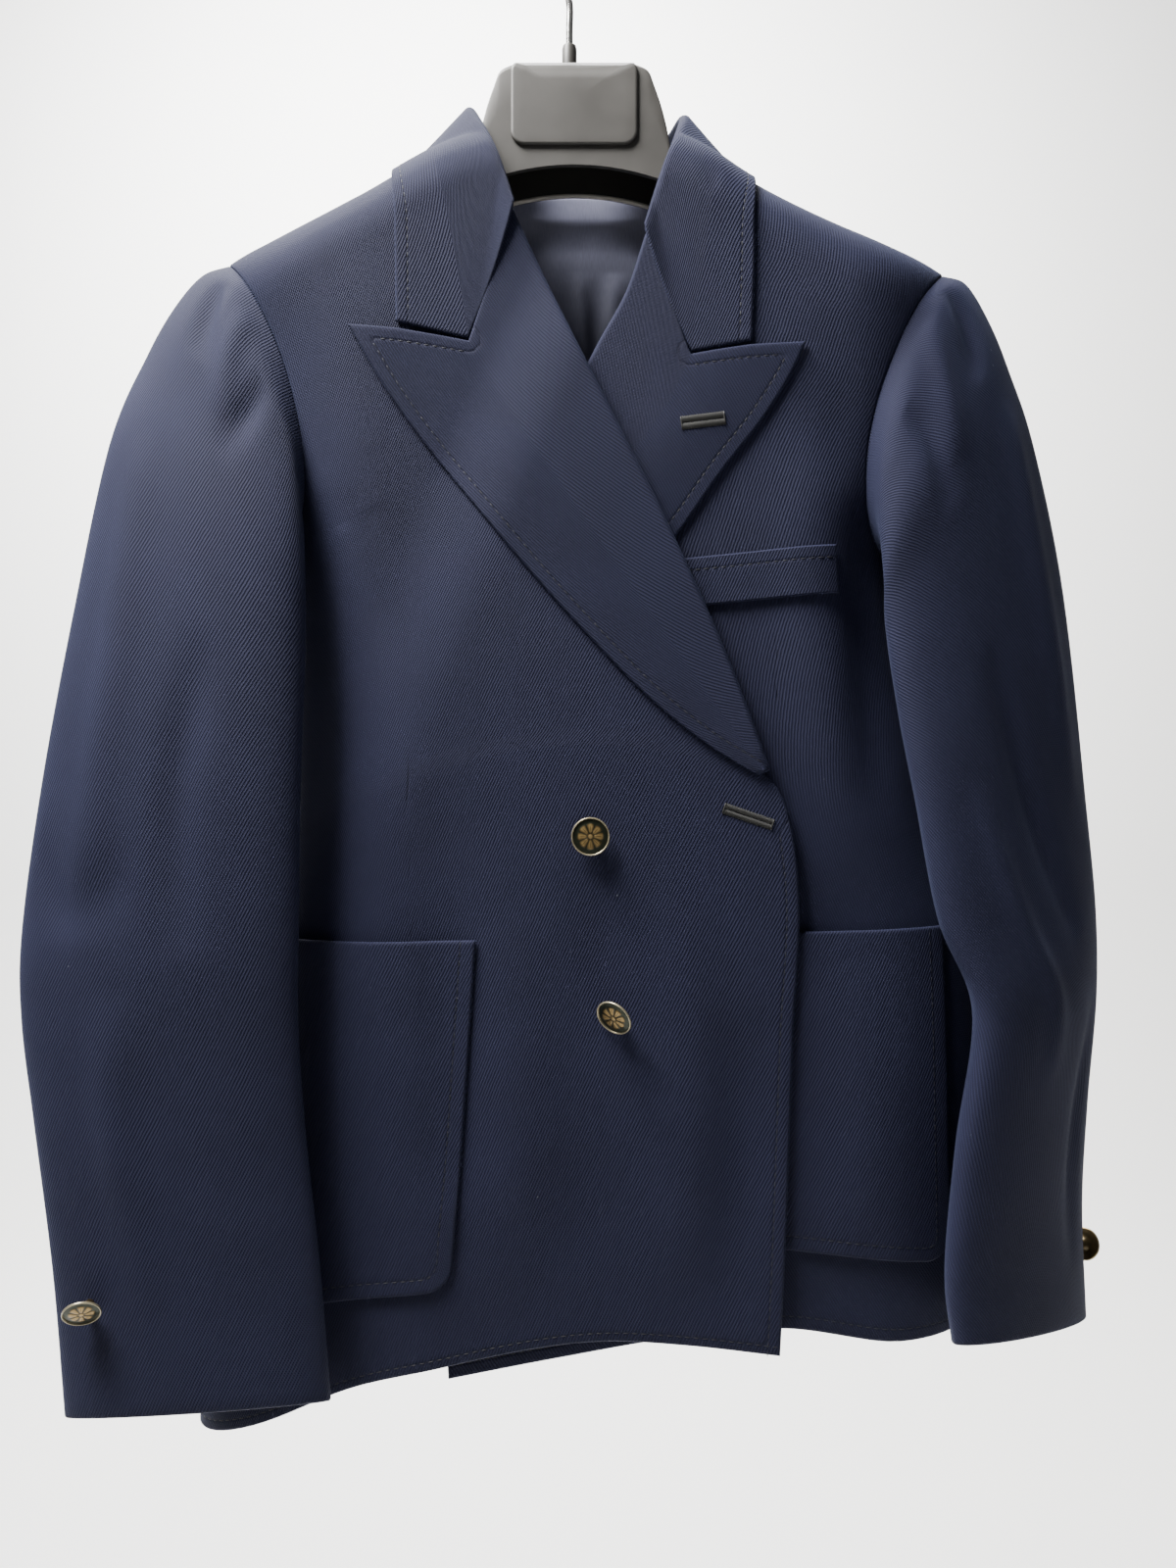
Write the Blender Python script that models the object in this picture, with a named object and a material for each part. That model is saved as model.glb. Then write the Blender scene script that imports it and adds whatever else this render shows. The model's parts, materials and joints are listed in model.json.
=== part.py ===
"""A boy's double-breasted jacket in navy twill on a moulded plastic hanger.

Metres, +Z up, the front faces -Y and +X is the wearer's left. The origin is the inner top of the
hanger's hook, where a rail or a wall hook carries the whole weight. Each piece of cloth is a wall
between an outer and an inner grid of points, and both are worked out from short tables of the cut.
"""
import math

import bmesh
import bpy
import numpy as np
from mathutils import Vector
from mathutils.bvhtree import BVHTree

# Cloth and clearances
WALL = 0.0015
GAP = 0.0003
HALF_SEAM = 0.00015
ROLL_RADIUS = 0.0027
ROLL_TURNS = (-90, -45, 0, 45)
LAPEL_ROWS = 16
LAPEL_COLUMNS = 10
ROLL_INSET = ROLL_RADIUS + GAP
ROLL_TOP_ROW = 4
RIGHT_BREAK_ROW = 11
LEFT_BREAK_ROW = 10
FLAT_COLUMNS = 10
BACK_FLAT_COLUMNS = 8
OVERLAP_RISE = 0.0062
OVERLAP_RAMP = 0.045
OVERLAP_START = 0.047
LAID_MARGIN = 0.0007

# Body form: half depth, and how far the side and shoulder edges take to reach it
HALF_DEPTH = 0.044
SIDE_ROUND = 0.055
SHOULDER_ROUND = 0.035
FORWARD_LEAN = 0.014
LEAN_TOP_Z = -0.25
HEM_Z = -0.68
HALF_WIDTH = 0.15

# Shoulder seam, x and z, from the wearer's right to the left
SHOULDER_SEAM = (
    (-0.1570, -0.1870),
    (-0.1260, -0.1757),
    (-0.0935, -0.1593),
    (-0.0500, -0.1360),
    (0.0560, -0.1375),
    (0.0790, -0.1522),
    (0.1180, -0.1717),
    (0.1713, -0.1913),
)

# Side seams: height, x of the wearer's right side, x of the left side
SIDE_SEAM = (
    (-0.180, -0.166, 0.180),
    (-0.250, -0.145, 0.163),
    (-0.330, -0.130, 0.148),
    (-0.430, -0.128, 0.166),
    (-0.520, -0.137, 0.190),
    (-0.600, -0.147, 0.191),
    (-0.660, -0.157, 0.185),
    (-0.710, -0.166, 0.182),
)

# Front half of each armhole, x and z, from the shoulder tip to the underarm
ARMHOLE_RIGHT = (
    (-0.1570, -0.1870),
    (-0.1405, -0.2080),
    (-0.1280, -0.2320),
    (-0.1190, -0.2600),
    (-0.1150, -0.2850),
    (-0.1165, -0.3050),
    (-0.1215, -0.3210),
    (-0.1300, -0.3300),
)
ARMHOLE_LEFT = (
    (0.1713, -0.1913),
    (0.1500, -0.2190),
    (0.1400, -0.2400),
    (0.1320, -0.2650),
    (0.1286, -0.2900),
    (0.1300, -0.3080),
    (0.1360, -0.3220),
    (0.1480, -0.3300),
)

# Centre edge of the wearer's right front, x and z: neck, roll line, break, free edge, hem corner
RIGHT_EDGE = (
    (-0.0500, -0.1360),
    (-0.0490, -0.1450),
    (-0.0445, -0.1580),
    (-0.0370, -0.1720),
    (-0.0275, -0.1790),
    (-0.0142, -0.2014),
    (0.0018, -0.2356),
    (0.0162, -0.2644),
    (0.0447, -0.3220),
    (0.0689, -0.3772),
    (0.0852, -0.4215),
    (0.0868, -0.4260),
    (0.0937, -0.4456),
    (0.0961, -0.4662),
    (0.0937, -0.5321),
    (0.0895, -0.6391),
    (0.0880, -0.6660),
)
RIGHT_HEM = (
    (-0.1650, -0.7080),
    (-0.1320, -0.6950),
    (-0.0990, -0.6810),
    (-0.0430, -0.6660),
    (0.0157, -0.6585),
    (0.0500, -0.6610),
    (0.0880, -0.6660),
)

# Centre edge of the wearer's left front, which lies under the right one
LEFT_EDGE = (
    (0.0560, -0.1375),
    (0.0548, -0.1480),
    (0.0508, -0.1620),
    (0.0448, -0.1780),
    (0.0360, -0.1890),
    (0.0234, -0.2170),
    (0.0130, -0.2357),
    (-0.0220, -0.3150),
    (-0.0470, -0.3800),
    (-0.0590, -0.4250),
    (-0.0600, -0.5000),
    (-0.0550, -0.6000),
    (-0.0503, -0.6737),
)
LEFT_HEM = (
    (-0.0503, -0.6737),
    (-0.0050, -0.6660),
    (0.0500, -0.6580),
    (0.0900, -0.6556),
    (0.1400, -0.6626),
    (0.1840, -0.6612),
)
BACK_HEM = ((-0.1650, -0.7060), (0.0040, -0.6740), (0.1840, -0.6620))
BACK_CENTRE_X = 0.0040
NECK_HALF_WIDTH = 0.0530
NECK_LOW_Z = -0.1490
CURVED_COLUMNS = 6
SHOULDER_ROWS = 6
ARMHOLE_ROWS = 6
SIDE_ROWS = 7

# Lapels: the roll line above the break, the outer edge from the peak down, and the top edge from
# the roll line along the gorge seam to the peak
RIGHT_ROLL = (
    (-0.0240, -0.1800),
    (-0.0142, -0.2014),
    (0.0018, -0.2356),
    (0.0162, -0.2644),
    (0.0447, -0.3220),
    (0.0689, -0.3772),
    (0.0845, -0.4190),
)
RIGHT_LAPEL_EDGE = (
    (-0.0939, -0.2302),
    (-0.0767, -0.2592),
    (-0.0411, -0.3063),
    (0.0027, -0.3575),
    (0.0412, -0.3959),
    (0.0600, -0.4100),
    (0.0790, -0.4215),
)
RIGHT_LAPEL_TOP = ((-0.0240, -0.1800), (-0.0424, -0.2368), (-0.0720, -0.2322), (-0.0939, -0.2302))
LEFT_ROLL = (
    (0.0327, -0.1900),
    (0.0234, -0.2170),
    (0.0130, -0.2357),
    (-0.0220, -0.3150),
    (-0.0470, -0.3800),
    (-0.0570, -0.4170),
)
LEFT_LAPEL_EDGE = (
    (0.1007, -0.2370),
    (0.0974, -0.2446),
    (0.0830, -0.2689),
    (0.0657, -0.2912),
    (0.0471, -0.3175),
    (-0.0080, -0.3800),
    (-0.0480, -0.4220),
)
LEFT_LAPEL_TOP = ((0.0327, -0.1900), (0.0512, -0.2424), (0.0768, -0.2388), (0.1007, -0.2370))

# Collar, from the right gorge round the back of the neck to the left one: the fold line x, y, z,
# the neck seam x, y, z, and the fall's edge x, y, z before it is laid on the body
COLLAR_ROWS = (
    (-0.0240, -0.0470, -0.1790, -0.0262, -0.0415, -0.1805, -0.0735, -0.046, -0.2290),
    (-0.0318, -0.0400, -0.1530, -0.0360, -0.0400, -0.1590, -0.0740, -0.044, -0.1960),
    (-0.0392, -0.0230, -0.1310, -0.0440, -0.0260, -0.1430, -0.0745, -0.036, -0.1690),
    (-0.0440, -0.0020, -0.1145, -0.0492, 0.0000, -0.1340, -0.0770, 0.000, -0.1480),
    (-0.0330, 0.0300, -0.1130, -0.0375, 0.0330, -0.1425, -0.0600, 0.040, -0.1680),
    (0.0040, 0.0430, -0.1125, 0.0040, 0.0405, -0.1475, 0.0040, 0.046, -0.1640),
    (0.0400, 0.0300, -0.1140, 0.0445, 0.0330, -0.1440, 0.0680, 0.040, -0.1700),
    (0.0503, -0.0020, -0.1175, 0.0555, 0.0000, -0.1355, 0.0800, 0.000, -0.1500),
    (0.0462, -0.0230, -0.1380, 0.0510, -0.0260, -0.1480, 0.0785, -0.036, -0.1720),
    (0.0400, -0.0385, -0.1620, 0.0447, -0.0400, -0.1665, 0.0787, -0.044, -0.2010),
    (0.0327, -0.0470, -0.1890, 0.0350, -0.0415, -0.1905, 0.0775, -0.046, -0.2370),
)
RIGHT_GORGE_CORNER = (-0.0418, -0.0460, -0.2345)
LEFT_GORGE_CORNER = (0.0508, -0.0460, -0.2400)
COLLAR_CLEARANCE = 0.0022
COLLAR_SECTIONS = 29
COLLAR_LEAF_COLUMNS = 6
COLLAR_END_SECTIONS = 7

# Sleeves, ring by ring from the armhole: the outer fold x, y, z, the inner fold x, y, z, half the
# thickness, and the share of the armhole's own form that the ring keeps
RIGHT_SLEEVE = (
    (-0.1570, 0.000, -0.1870, -0.1160, -0.030, -0.3000, 0.024, 1.00),
    (-0.1690, -0.001, -0.1925, -0.1145, -0.040, -0.3060, 0.024, 0.86),
    (-0.1795, -0.006, -0.2085, -0.1120, -0.045, -0.3160, 0.023, 0.66),
    (-0.1895, -0.012, -0.2320, -0.1105, -0.050, -0.3300, 0.022, 0.44),
    (-0.2014, -0.025, -0.2749, -0.1095, -0.055, -0.3500, 0.020, 0.20),
    (-0.2113, -0.040, -0.3513, -0.1092, -0.060, -0.3850, 0.018, 0.05),
    (-0.2195, -0.052, -0.4230, -0.1097, -0.064, -0.4300, 0.017, 0.0),
    (-0.2240, -0.061, -0.4850, -0.1095, -0.067, -0.4800, 0.016, 0.0),
    (-0.2224, -0.065, -0.5208, -0.1093, -0.069, -0.5200, 0.015, 0.0),
    (-0.2165, -0.067, -0.5620, -0.1060, -0.070, -0.5650, 0.014, 0.0),
    (-0.2080, -0.069, -0.6220, -0.1000, -0.071, -0.6180, 0.013, 0.0),
    (-0.2026, -0.070, -0.6805, -0.0952, -0.072, -0.6726, 0.013, 0.0),
)
LEFT_SLEEVE = (
    (0.1713, 0.000, -0.1913, 0.1292, -0.030, -0.3020, 0.024, 1.00),
    (0.1820, 0.000, -0.1960, 0.1300, -0.041, -0.3080, 0.024, 0.86),
    (0.1925, 0.000, -0.2140, 0.1302, -0.048, -0.3200, 0.023, 0.66),
    (0.2010, 0.000, -0.2360, 0.1308, -0.053, -0.3360, 0.022, 0.44),
    (0.2120, 0.000, -0.2700, 0.1320, -0.054, -0.3560, 0.020, 0.20),
    (0.2240, -0.002, -0.3350, 0.1370, -0.058, -0.3920, 0.018, 0.05),
    (0.2320, -0.005, -0.4250, 0.1440, -0.062, -0.4300, 0.017, 0.0),
    (0.2370, -0.004, -0.4800, 0.1534, -0.065, -0.4810, 0.017, 0.0),
    (0.2370, -0.002, -0.5200, 0.1680, -0.067, -0.5190, 0.016, 0.0),
    (0.2340, -0.002, -0.5700, 0.1600, -0.068, -0.5720, 0.015, 0.0),
    (0.2320, -0.003, -0.6180, 0.1545, -0.069, -0.6220, 0.014, 0.0),
    (0.2340, -0.004, -0.6690, 0.1570, -0.069, -0.6520, 0.013, 0.0),
)
SLEEVE_AROUND = 22
SLEEVE_RINGS = 18
FOLD_PLACE_ON_ARMHOLE = 0.74
SEAM_TURN = 0.42
UNDERARM_ANGLE = math.pi + 0.6
SLEEVE_CLEARANCE = 0.0028
SLEEVE_SEAM_GAP = 0.0016
CUFF_LIFT = 0.0045
CUFF_LIFT_POWER = 6
LAID_RINGS = 9
LAID_RING_BLEND = 4.0
UNDERARM_SPREAD = 0.75
UNDERARM_SEAM_SPREAD = 0.5
UNDERARM_SEAM_EXTRA = 1.6
SEAM_PULL = 1.2

# Pockets and welt: four corners x and z, clockwise from the top on the wearer's right
RIGHT_POCKET = ((-0.1280, -0.4915), (-0.0387, -0.4900), (-0.0480, -0.6335), (-0.1290, -0.6440))
LEFT_POCKET = ((0.0680, -0.4880), (0.1600, -0.4860), (0.1630, -0.6300), (0.0700, -0.6190))
BREAST_WELT = ((0.0479, -0.3295), (0.1130, -0.3229), (0.1142, -0.3439), (0.0520, -0.3500))
POCKET_CORNER = 0.012
POCKET_ROWS = 9
POCKET_COLUMNS = 12
WELT_ROWS = 3
WELT_COLUMNS = 9

# Lining leaf in the neck
LINING_WIDTH = 0.118
LINING_TOP_Z = -0.1375
LINING_BEND_Z = -0.1475
LINING_NARROWING = 0.40
LINING_BOW = 0.008
LINING_BOTTOM_Z = -0.2900
LINING_CLEARANCE = 0.0022
LINING_WALL = 0.0010
LINING_COLUMNS = 9
LINING_ROWS = 13
LINING_ROW_POWER = 1.6

# Buttons
BUTTON_RADIUS = 0.0080
BUTTON_RIM = 0.0012
BUTTON_DOME = 0.0014
SHANK_RADIUS = 0.0022
SHANK_LENGTH = 0.0022
LONG_SHANK_LENGTH = 0.0052
BUTTON_BACK_RISE = 0.0009
BUTTON_STAND_OFF = 0.0004
BUTTON_SIDES = 14

# Places of the buttons, and how far each leans to the side and up or down, in degrees. A spot on
# a cuff is a share of the sleeve's length and of the turn round it
UPPER_BUTTON_PLACE = (0.0088, -0.4469)
LOWER_BUTTON_PLACE = (0.0190, -0.5206)
UPPER_BUTTON_LEAN = (0.0, 0.0)
LOWER_BUTTON_LEAN = (36.0, -32.0)
CUFF_BUTTON_RADIUS = 0.0073
RIGHT_CUFF_BUTTON_SPOT = (0.929, 0.140)
LEFT_CUFF_BUTTON_SPOT = (0.946, 0.0)
RIGHT_CUFF_BUTTON_LEAN = (-31.0, -38.0)
LEFT_CUFF_BUTTON_LEAN = (0.0, -18.0)

# Hanger
PLASTIC = 0.0026
HANGER_CENTRE_X = 0.0018
HEAD_TOP_Z = -0.0975
HEAD_HALF_DEPTH = 0.0155
HEAD_ROUND = 0.0060
HANGER_RIGHT_END = -0.1390
HANGER_LEFT_END = 0.1510
HANGER_ARM_DROP = 0.019
HANGER_LIP = 0.004
HANGER_CLEARANCE = 0.0015
HANGER_ARM_PLACES = 7
HANGER_SECTION_STEP = 18
ARM_START = 0.050
ARM_BLEND = 0.016
ARCH_Z = -0.1465
ARCH_FALL = 0.0110
PLATE_HALF_WIDTH = 0.0285
PLATE_HEIGHT = 0.0335
PLATE_TOP_Z = -0.1045
PLATE_THICKNESS = 0.0014
PLATE_CORNER = 0.0060

# Top of the hanger's head and neck: distance from its centre, height
HANGER_TOP = (
    (0.0000, HEAD_TOP_Z),
    (0.0120, HEAD_TOP_Z),
    (0.0290, -0.0978),
    (0.0332, -0.1000),
    (0.0360, -0.1065),
    (0.0393, -0.1160),
    (0.0422, -0.1275),
    (0.0446, -0.1395),
    (0.0488, -0.1450),
    (0.0560, -0.1462),
)

# Hook
WIRE_RADIUS = 0.0016
HOOK_BEND_RADIUS = 0.0235
HOOK_STEM_X = -0.0006
FERRULE_RADIUS = 0.0034
FERRULE_HEIGHT = 0.0085
HOOK_STEM_TOP_Z = -0.0640
HOOK_BEND_OFFSET = -0.0035
HOOK_BEND_RISE = 0.0120
HOOK_TURN_START = 215
HOOK_TURN_END = -30
HOOK_TURN_POINTS = 18


def curve(rows, share):
    """Points of a row table at the given shares of its length, straight between rows."""
    rows = np.asarray(rows, float)
    steps = np.linalg.norm(np.diff(rows, axis=0), axis=1)
    along = np.concatenate([[0.0], np.cumsum(steps)]) / steps.sum()
    return np.stack([np.interp(share, along, rows[:, k]) for k in range(rows.shape[1])], axis=-1)


def smooth_table(rows, count):
    """Rows of a table carried through a cubic of matching slopes, count rows in all."""
    rows = np.asarray(rows, float)
    slopes = np.gradient(rows, axis=0)
    place = np.linspace(0, len(rows) - 1, count)
    low = np.minimum(place.astype(int), len(rows) - 2)
    t = (place - low)[:, None]
    start, end = rows[low], rows[low + 1]
    keep_start = (1 + 2 * t) * (1 - t) ** 2
    keep_end = t * t * (3 - 2 * t)
    return (
        keep_start * start
        + t * (1 - t) ** 2 * slopes[low]
        + keep_end * end
        + t * t * (t - 1) * slopes[low + 1]
    )


def through(rows, count):
    """Points through a row table, the same number of them between each two rows."""
    rows = np.asarray(rows, float)
    place = np.linspace(0, len(rows) - 1, count)
    along = np.arange(len(rows))
    return np.stack([np.interp(place, along, rows[:, k]) for k in range(rows.shape[1])], axis=-1)


def ease(t):
    """Smooth step from 0 to 1."""
    t = np.clip(t, 0.0, 1.0)
    return t * t * (3 - 2 * t)


def shoulder_z(x):
    """Height of the shoulder ridge above x, level across the neck and sloping on past the tips."""
    rows = np.asarray(SHOULDER_SEAM)
    z = np.interp(x, rows[:, 0], rows[:, 1])
    slope = (rows[1, 1] - rows[0, 1]) / (rows[1, 0] - rows[0, 0])
    z = z + np.minimum(x - rows[0, 0], 0) * slope
    return z - np.maximum(x - rows[-1, 0], 0) * slope


def side_x(z, side):
    """x of the side seam at a height; side is 1 on the wearer's right and 2 on the left."""
    rows = np.asarray(SIDE_SEAM)[::-1]
    return np.interp(z, rows[:, 0], rows[:, side])


def rounding(t):
    """Square of the share of the depth reached at t of the way in from a rounded edge."""
    t = np.minimum(t, 1.0)
    return t * (2 - t)


def depth_squared(x, z):
    """Square of the body's half depth at x and z."""
    inward = np.minimum(x - side_x(z, 1), side_x(z, 2) - x) / SIDE_ROUND
    below = (shoulder_z(x) - z) / SHOULDER_ROUND
    return HALF_DEPTH**2 * rounding(inward) * rounding(below)


def mid_y(x, z):
    """Middle plane of the body, which leans forward towards the hem on the wearer's right."""
    down = np.clip((LEAN_TOP_Z - z) / (LEAN_TOP_Z - HEM_Z), 0, 1)
    across = 0.5 - 0.5 * np.clip(x / HALF_WIDTH, -1, 1)
    return -FORWARD_LEAN * down * across


def form(points, side):
    """The body's level function, zero on its surface, for points on one side of the seams."""
    x, y, z = points[..., 0], points[..., 1], points[..., 2]
    return (y - mid_y(x, z) - side * HALF_SEAM) ** 2 - depth_squared(x, z)


def outward(points, side):
    """Unit normals of the body's level function and its slope there."""
    step = 2e-4
    slope = np.zeros(points.shape)
    for axis in range(3):
        shift = np.zeros(3)
        shift[axis] = step
        slope[..., axis] = form(points + shift, side) - form(points - shift, side)
    slope /= 2 * step
    length = np.linalg.norm(slope, axis=-1, keepdims=True)
    return slope / np.maximum(length, 1e-9), length[..., 0]


def on_body(x, z, side, height=0.0):
    """Points of the front (side -1) or back (side 1) surface above x and z, raised by a height."""
    y = mid_y(x, z) + side * (HALF_SEAM + np.sqrt(np.maximum(depth_squared(x, z), 0)))
    points = np.stack([x, y, z], axis=-1)
    normals, _ = outward(points, side)
    return points + normals * np.asarray(height)[..., None], normals


def facets_of(grid):
    """The flat faces of a panel's outer grid, to lay other pieces on."""
    rows, columns = grid.shape[:2]
    index = np.arange(rows * columns).reshape(rows, columns)
    faces = []
    for i in range(rows - 1):
        for j in range(columns - 1):
            faces.append([index[i, j], index[i, j + 1], index[i + 1, j + 1], index[i + 1, j]])
    return BVHTree.FromPolygons([Vector(point) for point in grid.reshape(-1, 3)], faces)


def on_facets(facets, x, z, height_of, height):
    """Points in front of a panel's flat faces, raised by a height along the body's normals."""
    smooth_points, normals = on_body(x, z, -1, height_of(x, z))
    flat_points = smooth_points.reshape(-1, 3).copy()
    for point in flat_points:
        hit = facets.ray_cast(Vector((point[0], -1.0, point[2])), Vector((0.0, 1.0, 0.0)))[0]
        if hit is not None and hit.y < -0.002:
            point[1] = hit.y
    return flat_points.reshape(smooth_points.shape) + normals * height, normals


def laid_clear(points, height):
    """Points pushed out until they stand at least a height off the body."""
    points = points.copy()
    for _ in range(8):
        side = np.sign(points[..., 1] - mid_y(points[..., 0], points[..., 2]))
        normals, slope = outward(points, 0)
        distance = form(points, side) / np.maximum(slope, 1e-6)
        points += normals * np.clip(height - distance, 0, 0.01)[..., None]
    return points


def grid_normals(grid):
    """Unit normals of a grid of points, across its columns and rows."""
    normals = np.cross(np.gradient(grid, axis=1), np.gradient(grid, axis=0))
    return normals / np.maximum(np.linalg.norm(normals, axis=-1, keepdims=True), 1e-12)


def material(name, colour, roughness, metallic=0.0):
    made = bpy.data.materials.new(name)
    made.use_nodes = True
    shader = made.node_tree.nodes["Principled BSDF"]
    shader.inputs["Base Color"].default_value = (*colour, 1.0)
    shader.inputs["Roughness"].default_value = roughness
    shader.inputs["Metallic"].default_value = metallic
    made.diffuse_color = (*colour, 1.0)
    return made


def add_object(name, points, faces, finish, smooth_angle=40):
    """An object from points and faces, its faces turned outward."""
    mesh = bpy.data.meshes.new(name)
    mesh.from_pydata([tuple(point) for point in points], [], faces)
    work = bmesh.new()
    work.from_mesh(mesh)
    bmesh.ops.recalc_face_normals(work, faces=work.faces)
    work.to_mesh(mesh)
    work.free()
    mesh.shade_smooth()
    mesh.set_sharp_from_angle(angle=math.radians(smooth_angle))
    made = bpy.data.objects.new(name, mesh)
    made.data.materials.append(finish)
    bpy.context.scene.collection.objects.link(made)
    return made


def wall_between(name, outer, inner, finish):
    """A closed wall between two grids of the same shape."""
    rows, columns = outer.shape[:2]
    count = rows * columns
    index = np.arange(count).reshape(rows, columns)
    faces = []
    for i in range(rows - 1):
        for j in range(columns - 1):
            corners = (index[i, j], index[i, j + 1], index[i + 1, j + 1], index[i + 1, j])
            faces.append([int(k) for k in corners])
            faces.append([int(k) + count for k in corners[::-1]])
    rim = np.concatenate([index[0, :-1], index[:-1, -1], index[-1, :0:-1], index[:0:-1, 0]])
    for here, there in zip(rim, np.roll(rim, -1)):
        faces.append([int(there), int(here), int(here) + count, int(there) + count])
    points = np.concatenate([outer.reshape(-1, 3), inner.reshape(-1, 3)])
    return add_object(name, points, faces, finish)


def row_drops(armhole, side, hem):
    """Heights of a panel's rows at its outer edge: the shoulder's round, the armhole, the side."""
    tip_x, tip_z = armhole[0]
    rounded = tip_z - SHOULDER_ROUND * (1 - np.cos(np.linspace(0, math.pi / 2, SHOULDER_ROWS)))
    underarm_z = armhole[-1][1]
    arm_share = np.sin(np.linspace(0, math.pi / 2, ARMHOLE_ROWS + 1))[1:]
    arm = rounded[-1] + (underarm_z - rounded[-1]) * arm_share
    hem_z = np.interp(side_x(HEM_Z, side), *np.asarray(hem).T)
    down = np.linspace(underarm_z, hem_z, SIDE_ROWS + 1)[1:]
    return np.concatenate([rounded, arm, down])


def outer_edge(z, armhole, side):
    """x of a panel's outer edge at a height: its armhole, and below it the side seam."""
    arm = np.asarray(armhole)[::-1]
    return np.where(z < arm[0, 1], side_x(z, side), np.interp(z, arm[:, 1], arm[:, 0]))


def back_top_z(x):
    """Height of the back's top edge: the shoulder seam, and the neck's hollow between its ends."""
    from_centre = np.abs(x - BACK_CENTRE_X) / NECK_HALF_WIDTH
    hollow = NECK_LOW_Z + (shoulder_z(x) - NECK_LOW_Z) * from_centre**2
    return np.where(from_centre < 1, hollow, shoulder_z(x))


def share_down(x, z, hem, top_z):
    """How far down from a panel's top edge to its hem a point lies."""
    hem_z = np.interp(x, *np.asarray(hem).T)
    return (top_z(x) - z) / (top_z(x) - hem_z)


def half_panel(armhole, side, hem, centre_edge, top_z, flat_columns):
    """x and z of a panel's grid from its outer edge to its centre edge, rows from the shoulder."""
    toward = 1 if side == 1 else -1
    z_outer = row_drops(armhole, side, hem)
    x_outer = outer_edge(z_outer, armhole, side)
    down = share_down(x_outer, z_outer, hem, top_z)
    edge = curve(centre_edge, np.linspace(0, 1, 400))
    edge_share = share_down(edge[:, 0], edge[:, 1], hem, top_z)
    x_centre = np.interp(down, edge_share, edge[:, 0])
    inset = toward * (x_outer - side_x(z_outer, side)) / SIDE_ROUND
    first_angle = np.arccos(1 - np.clip(inset, 0, 1))
    turn = np.linspace(0, 1, CURVED_COLUMNS)
    angle = first_angle[:, None] + (math.pi / 2 - first_angle[:, None]) * turn
    rounded = side_x(z_outer, side)[:, None] + toward * SIDE_ROUND * (1 - np.cos(angle))
    across = np.linspace(0, 1, flat_columns + 1)[1:]
    flat = rounded[:, -1:] + (x_centre[:, None] - rounded[:, -1:]) * across
    x = np.concatenate([rounded, flat], axis=1)
    x[:, 0] = x_outer
    z = top_z(x) - down[:, None] * (top_z(x) - np.interp(x, *np.asarray(hem).T))
    return x, z


def overlap_height(x, z):
    """How far the right front stands off where the left front lies under it."""
    edge = np.asarray(LEFT_EDGE)[::-1]
    under = np.interp(z, edge[:, 1], edge[:, 0])
    return OVERLAP_RISE * ease((x - under + OVERLAP_START) / OVERLAP_RAMP)


def inset_above_break(edge, break_row, toward):
    """A centre edge moved back from the roll line, to leave room for the lapel's turn."""
    return [
        (x + (toward * ROLL_INSET if ROLL_TOP_ROW <= row < break_row else 0.0), z)
        for row, (x, z) in enumerate(edge)
    ]


def make_fronts(cloth):
    right_edge = inset_above_break(RIGHT_EDGE, RIGHT_BREAK_ROW, -1)
    x, z = half_panel(ARMHOLE_RIGHT, 1, RIGHT_HEM, right_edge, shoulder_z, FLAT_COLUMNS)
    height = overlap_height(x, z)
    outer, normals = on_body(x, z, -1, height)
    wall_between("front_right", outer, outer - WALL * normals, cloth)
    right_facets = facets_of(outer)
    left_edge = inset_above_break(LEFT_EDGE, LEFT_BREAK_ROW, 1)
    x, z = half_panel(ARMHOLE_LEFT, 2, LEFT_HEM, left_edge, shoulder_z, FLAT_COLUMNS)
    outer, normals = on_body(x, z, -1)
    wall_between("front_left", outer, outer - WALL * normals, cloth)
    return right_facets, facets_of(outer)


def make_back(cloth):
    """The back in one piece: both halves meet at the centre line under the collar."""
    centre = ((BACK_CENTRE_X, NECK_LOW_Z), (BACK_CENTRE_X, BACK_HEM[1][1]))
    x_right, z_right = half_panel(ARMHOLE_RIGHT, 1, BACK_HEM, centre, back_top_z, BACK_FLAT_COLUMNS)
    x_left, z_left = half_panel(ARMHOLE_LEFT, 2, BACK_HEM, centre, back_top_z, BACK_FLAT_COLUMNS)
    middle = x_right.shape[1] - 1
    x = np.concatenate([x_right, x_left[:, -2::-1]], axis=1)
    z = np.concatenate([z_right, z_left[:, -2::-1]], axis=1)
    x[:, middle] = BACK_CENTRE_X
    z[:, middle] = 0.5 * (z_right[:, -1] + z_left[:, -1])
    outer, normals = on_body(x, z, 1)
    wall_between("back_panel", outer, outer - WALL * normals, cloth)


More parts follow.
